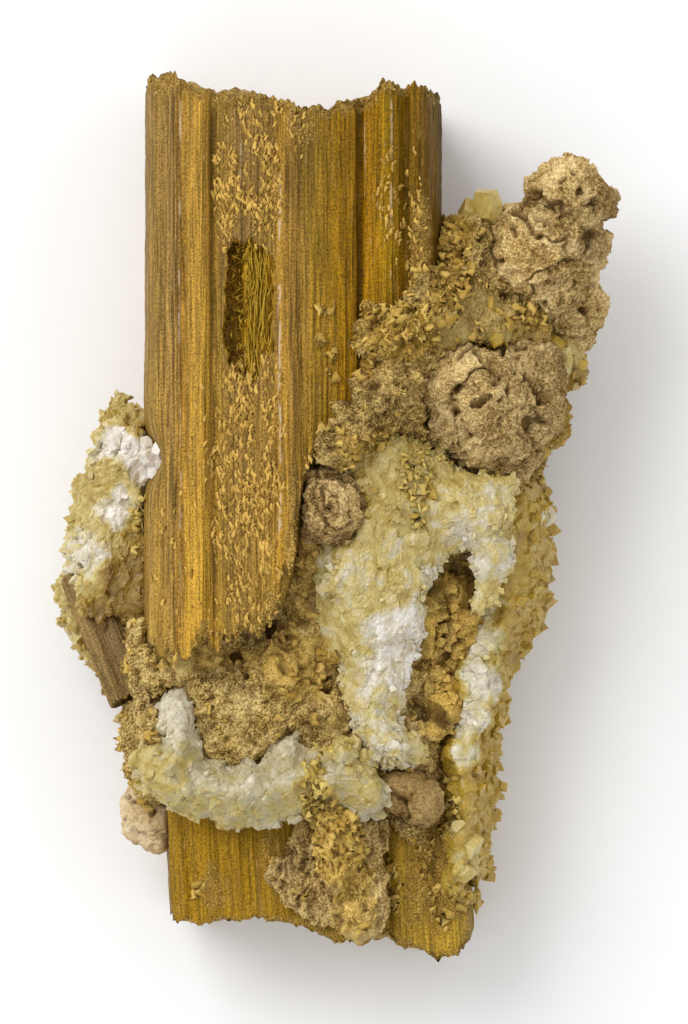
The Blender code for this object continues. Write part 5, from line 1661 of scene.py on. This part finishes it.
class MINERAL_OT_crystal_crusts(bpy.types.Operator):
    """Build the crusts of pale and olive crystals"""

    bl_idname = "mineral.crystal_crusts"
    bl_label = "Crystal Crusts"

    def execute(self, context):
        # Milky crystals go from honey to snow white, clouded ones stay grey, and iron makes olive ones.
        milky = crystal_gibbsite("milky crystals, vitreous", PALE_TONES)
        finishes = {
            "fin_crystal_crust": milky,
            "left_crystal_crust": milky,
            "bottom_crystal_crust": crystal_gibbsite("clouded grey crystals, vitreous", GREY_TONES),
            "right_crystal_crust": crystal_gibbsite("olive crystals, vitreous", OLIVE_TONES),
        }
        # Crumbs on the crusts are a paler, greener yellow than elsewhere.
        crumbs = crumb_finish("gibbsite crumbs on crystals, powdery", "#AC8A34", "#DCC470")
        reach = reach_of_sides()
        for node, look in CRUSTS.items():
            finished(crystal_crust(node, look, finishes[node], crumbs, reach), look["slot"], node)
        return {"FINISHED"}


class MINERAL_OT_crumbly(bpy.types.Operator):
    """Build the crumbly gibbsite and its granular crusts"""

    bl_idname = "mineral.crumbly"
    bl_label = "Crumbly Gibbsite"

    def execute(self, context):
        look = context.scene.mineral_matrix
        # All three are dusty and matt: the mass is tan, the upper crust browner, and the drape yellower.
        finishes = {
            "crumbly_gibbsite": porous_mineral(
                "crumbly gibbsite, earthy", "#70561E", "#C0A25E", "#EAD090", yellow="#E4BC5A"
            ),
            "upper_gibbsite_crust": porous_mineral(
                "granular gibbsite with grey crystals", "#604818", "#A88C4E", "#D8BA76", yellow="#A88226"
            ),
            "gibbsite_drape": porous_mineral(
                "granular gibbsite, yellow", "#6C5222", "#B8985A", "#E2C68A", yellow="#ECC45C"
            ),
        }
        crumbs = crumb_finish("gibbsite crumbs, powdery", look.crumb_shade, look.crumb_colour)
        curls = crumb_finish("gibbsite curls, powdery", "#8A6C2A", "#D4B66C")
        crystals = crystal_gibbsite("grey crystals, vitreous", OLIVE_TONES)
        reach = reach_of_sides()
        for node, recipe in CRUMBLY.items():
            piece = crumbly_piece(node, recipe, (finishes[node], crumbs, curls, crystals), reach)
            finished(piece, recipe["slot"], node)
        return {"FINISHED"}


class MINERAL_OT_nodules(bpy.types.Operator):
    """Build the porous nodules"""

    bl_idname = "mineral.nodules"
    bl_label = "Nodules"

    def execute(self, context):
        look = context.scene.mineral_matrix
        # Spongy nodules are speckled with dark pores, and the compact and smooth ones are more even.
        finishes = {
            "brown_nodule": porous_mineral(
                "porous nodule, earthy brown", "#644A1E", look.nodule_colour, "#E0C68C", speckled=1.2
            ),
            "top_nodule": porous_mineral(
                "porous nodule, tan", "#765624", "#BC9E62", "#EED49C", speckled=1.2
            ),
            "lower_nodule": porous_mineral(
                "compact nodule, speckled brown", "#74582A", "#A0824E", "#BC9E66", speckled=1.3
            ),
            "pinkish_nodule": porous_mineral(
                "smooth nodule, pinkish", "#A48654", "#CCB284", "#E4D0AC", speckled=0.8
            ),
        }
        fibres = crumb_finish("nodule fibres, dusty", "#8E7240", "#D2B888")
        reach = reach_of_sides()
        for node, recipe in NODULES.items():
            finish = finishes.get(node, finishes[recipe["slot"]])
            finished(fine_nodule(node, recipe, finish, fibres, reach), recipe["slot"], node)
        return {"FINISHED"}


class MINERAL_OT_stage(bpy.types.Operator):
    """Set the paper floor, the soft studio light and the camera above the specimen"""

    bl_idname = "mineral.stage"
    bl_label = "Stage"

    def execute(self, context):
        look = context.scene.mineral_stage
        bm = bmesh.new()
        bmesh.ops.create_grid(bm, x_segments=1, y_segments=1, size=look.floor_size / 2)
        floor = shape_object("floor", bm)
        floor.data.materials.append(plain_paper("matt white paper", look.floor_colour))
        world = bpy.data.worlds.new("even light")
        world.use_nodes = True
        background = world.node_tree.nodes["Background"]
        background.inputs["Color"].default_value = linear("#FFFFFF")
        background.inputs["Strength"].default_value = look.sky
        context.scene.world = world
        light = bpy.data.lights.new("key", "AREA")
        light.shape = "SQUARE"
        light.size = 0.45
        light.energy = look.key
        lamp = add_object("key", light)
        lamp.location = (-0.36, 0.34, 0.52)
        lamp.rotation_euler = (-lamp.location).to_track_quat("-Z", "Y").to_euler()
        view = bpy.data.cameras.new("camera")
        view.lens = look.lens
        view.sensor_width = 36.0
        view.clip_start = 0.01
        camera = add_object("camera", view)
        camera.location = look.camera_place
        context.scene.camera = camera
        context.scene.view_settings.view_transform = "Standard"
        return {"FINISHED"}


class MINERAL_PT_panel(bpy.types.Panel):
    """The steps and settings of the specimen"""

    bl_label = "Gibbsite Pseudomorph"
    bl_idname = "MINERAL_PT_panel"
    bl_space_type = "VIEW_3D"
    bl_region_type = "UI"
    bl_category = "Mineral"

    def draw(self, context):
        for step in STEPS:
            self.layout.operator(step.bl_idname)
        for settings in SETTINGS:
            group = getattr(context.scene, settings)
            for name in group.bl_rna.properties.keys():
                if name not in ("rna_type", "name"):
                    self.layout.prop(group, name)


STEPS = (
    MINERAL_OT_prisms, MINERAL_OT_flakes, MINERAL_OT_crystal_crusts, MINERAL_OT_crumbly, MINERAL_OT_nodules,
    MINERAL_OT_stage,
)
SETTINGS = {
    "mineral_prisms": PrismSettings, "mineral_matrix": MatrixSettings, "mineral_stage": StageSettings,
}


def register():
    for group in (*SETTINGS.values(), *STEPS, MINERAL_PT_panel):
        bpy.utils.register_class(group)
    for name, group in SETTINGS.items():
        setattr(bpy.types.Scene, name, bpy.props.PointerProperty(type=group))


def unregister():
    for name in SETTINGS:
        delattr(bpy.types.Scene, name)
    for group in (MINERAL_PT_panel, *reversed(STEPS), *reversed(SETTINGS.values())):
        bpy.utils.unregister_class(group)


def main():
    register()
    bpy.ops.mineral.prisms()
    bpy.ops.mineral.flakes()
    bpy.ops.mineral.crystal_crusts()
    bpy.ops.mineral.crumbly()
    bpy.ops.mineral.nodules()
    bpy.ops.mineral.stage()


if __name__ == "__main__":
    main()
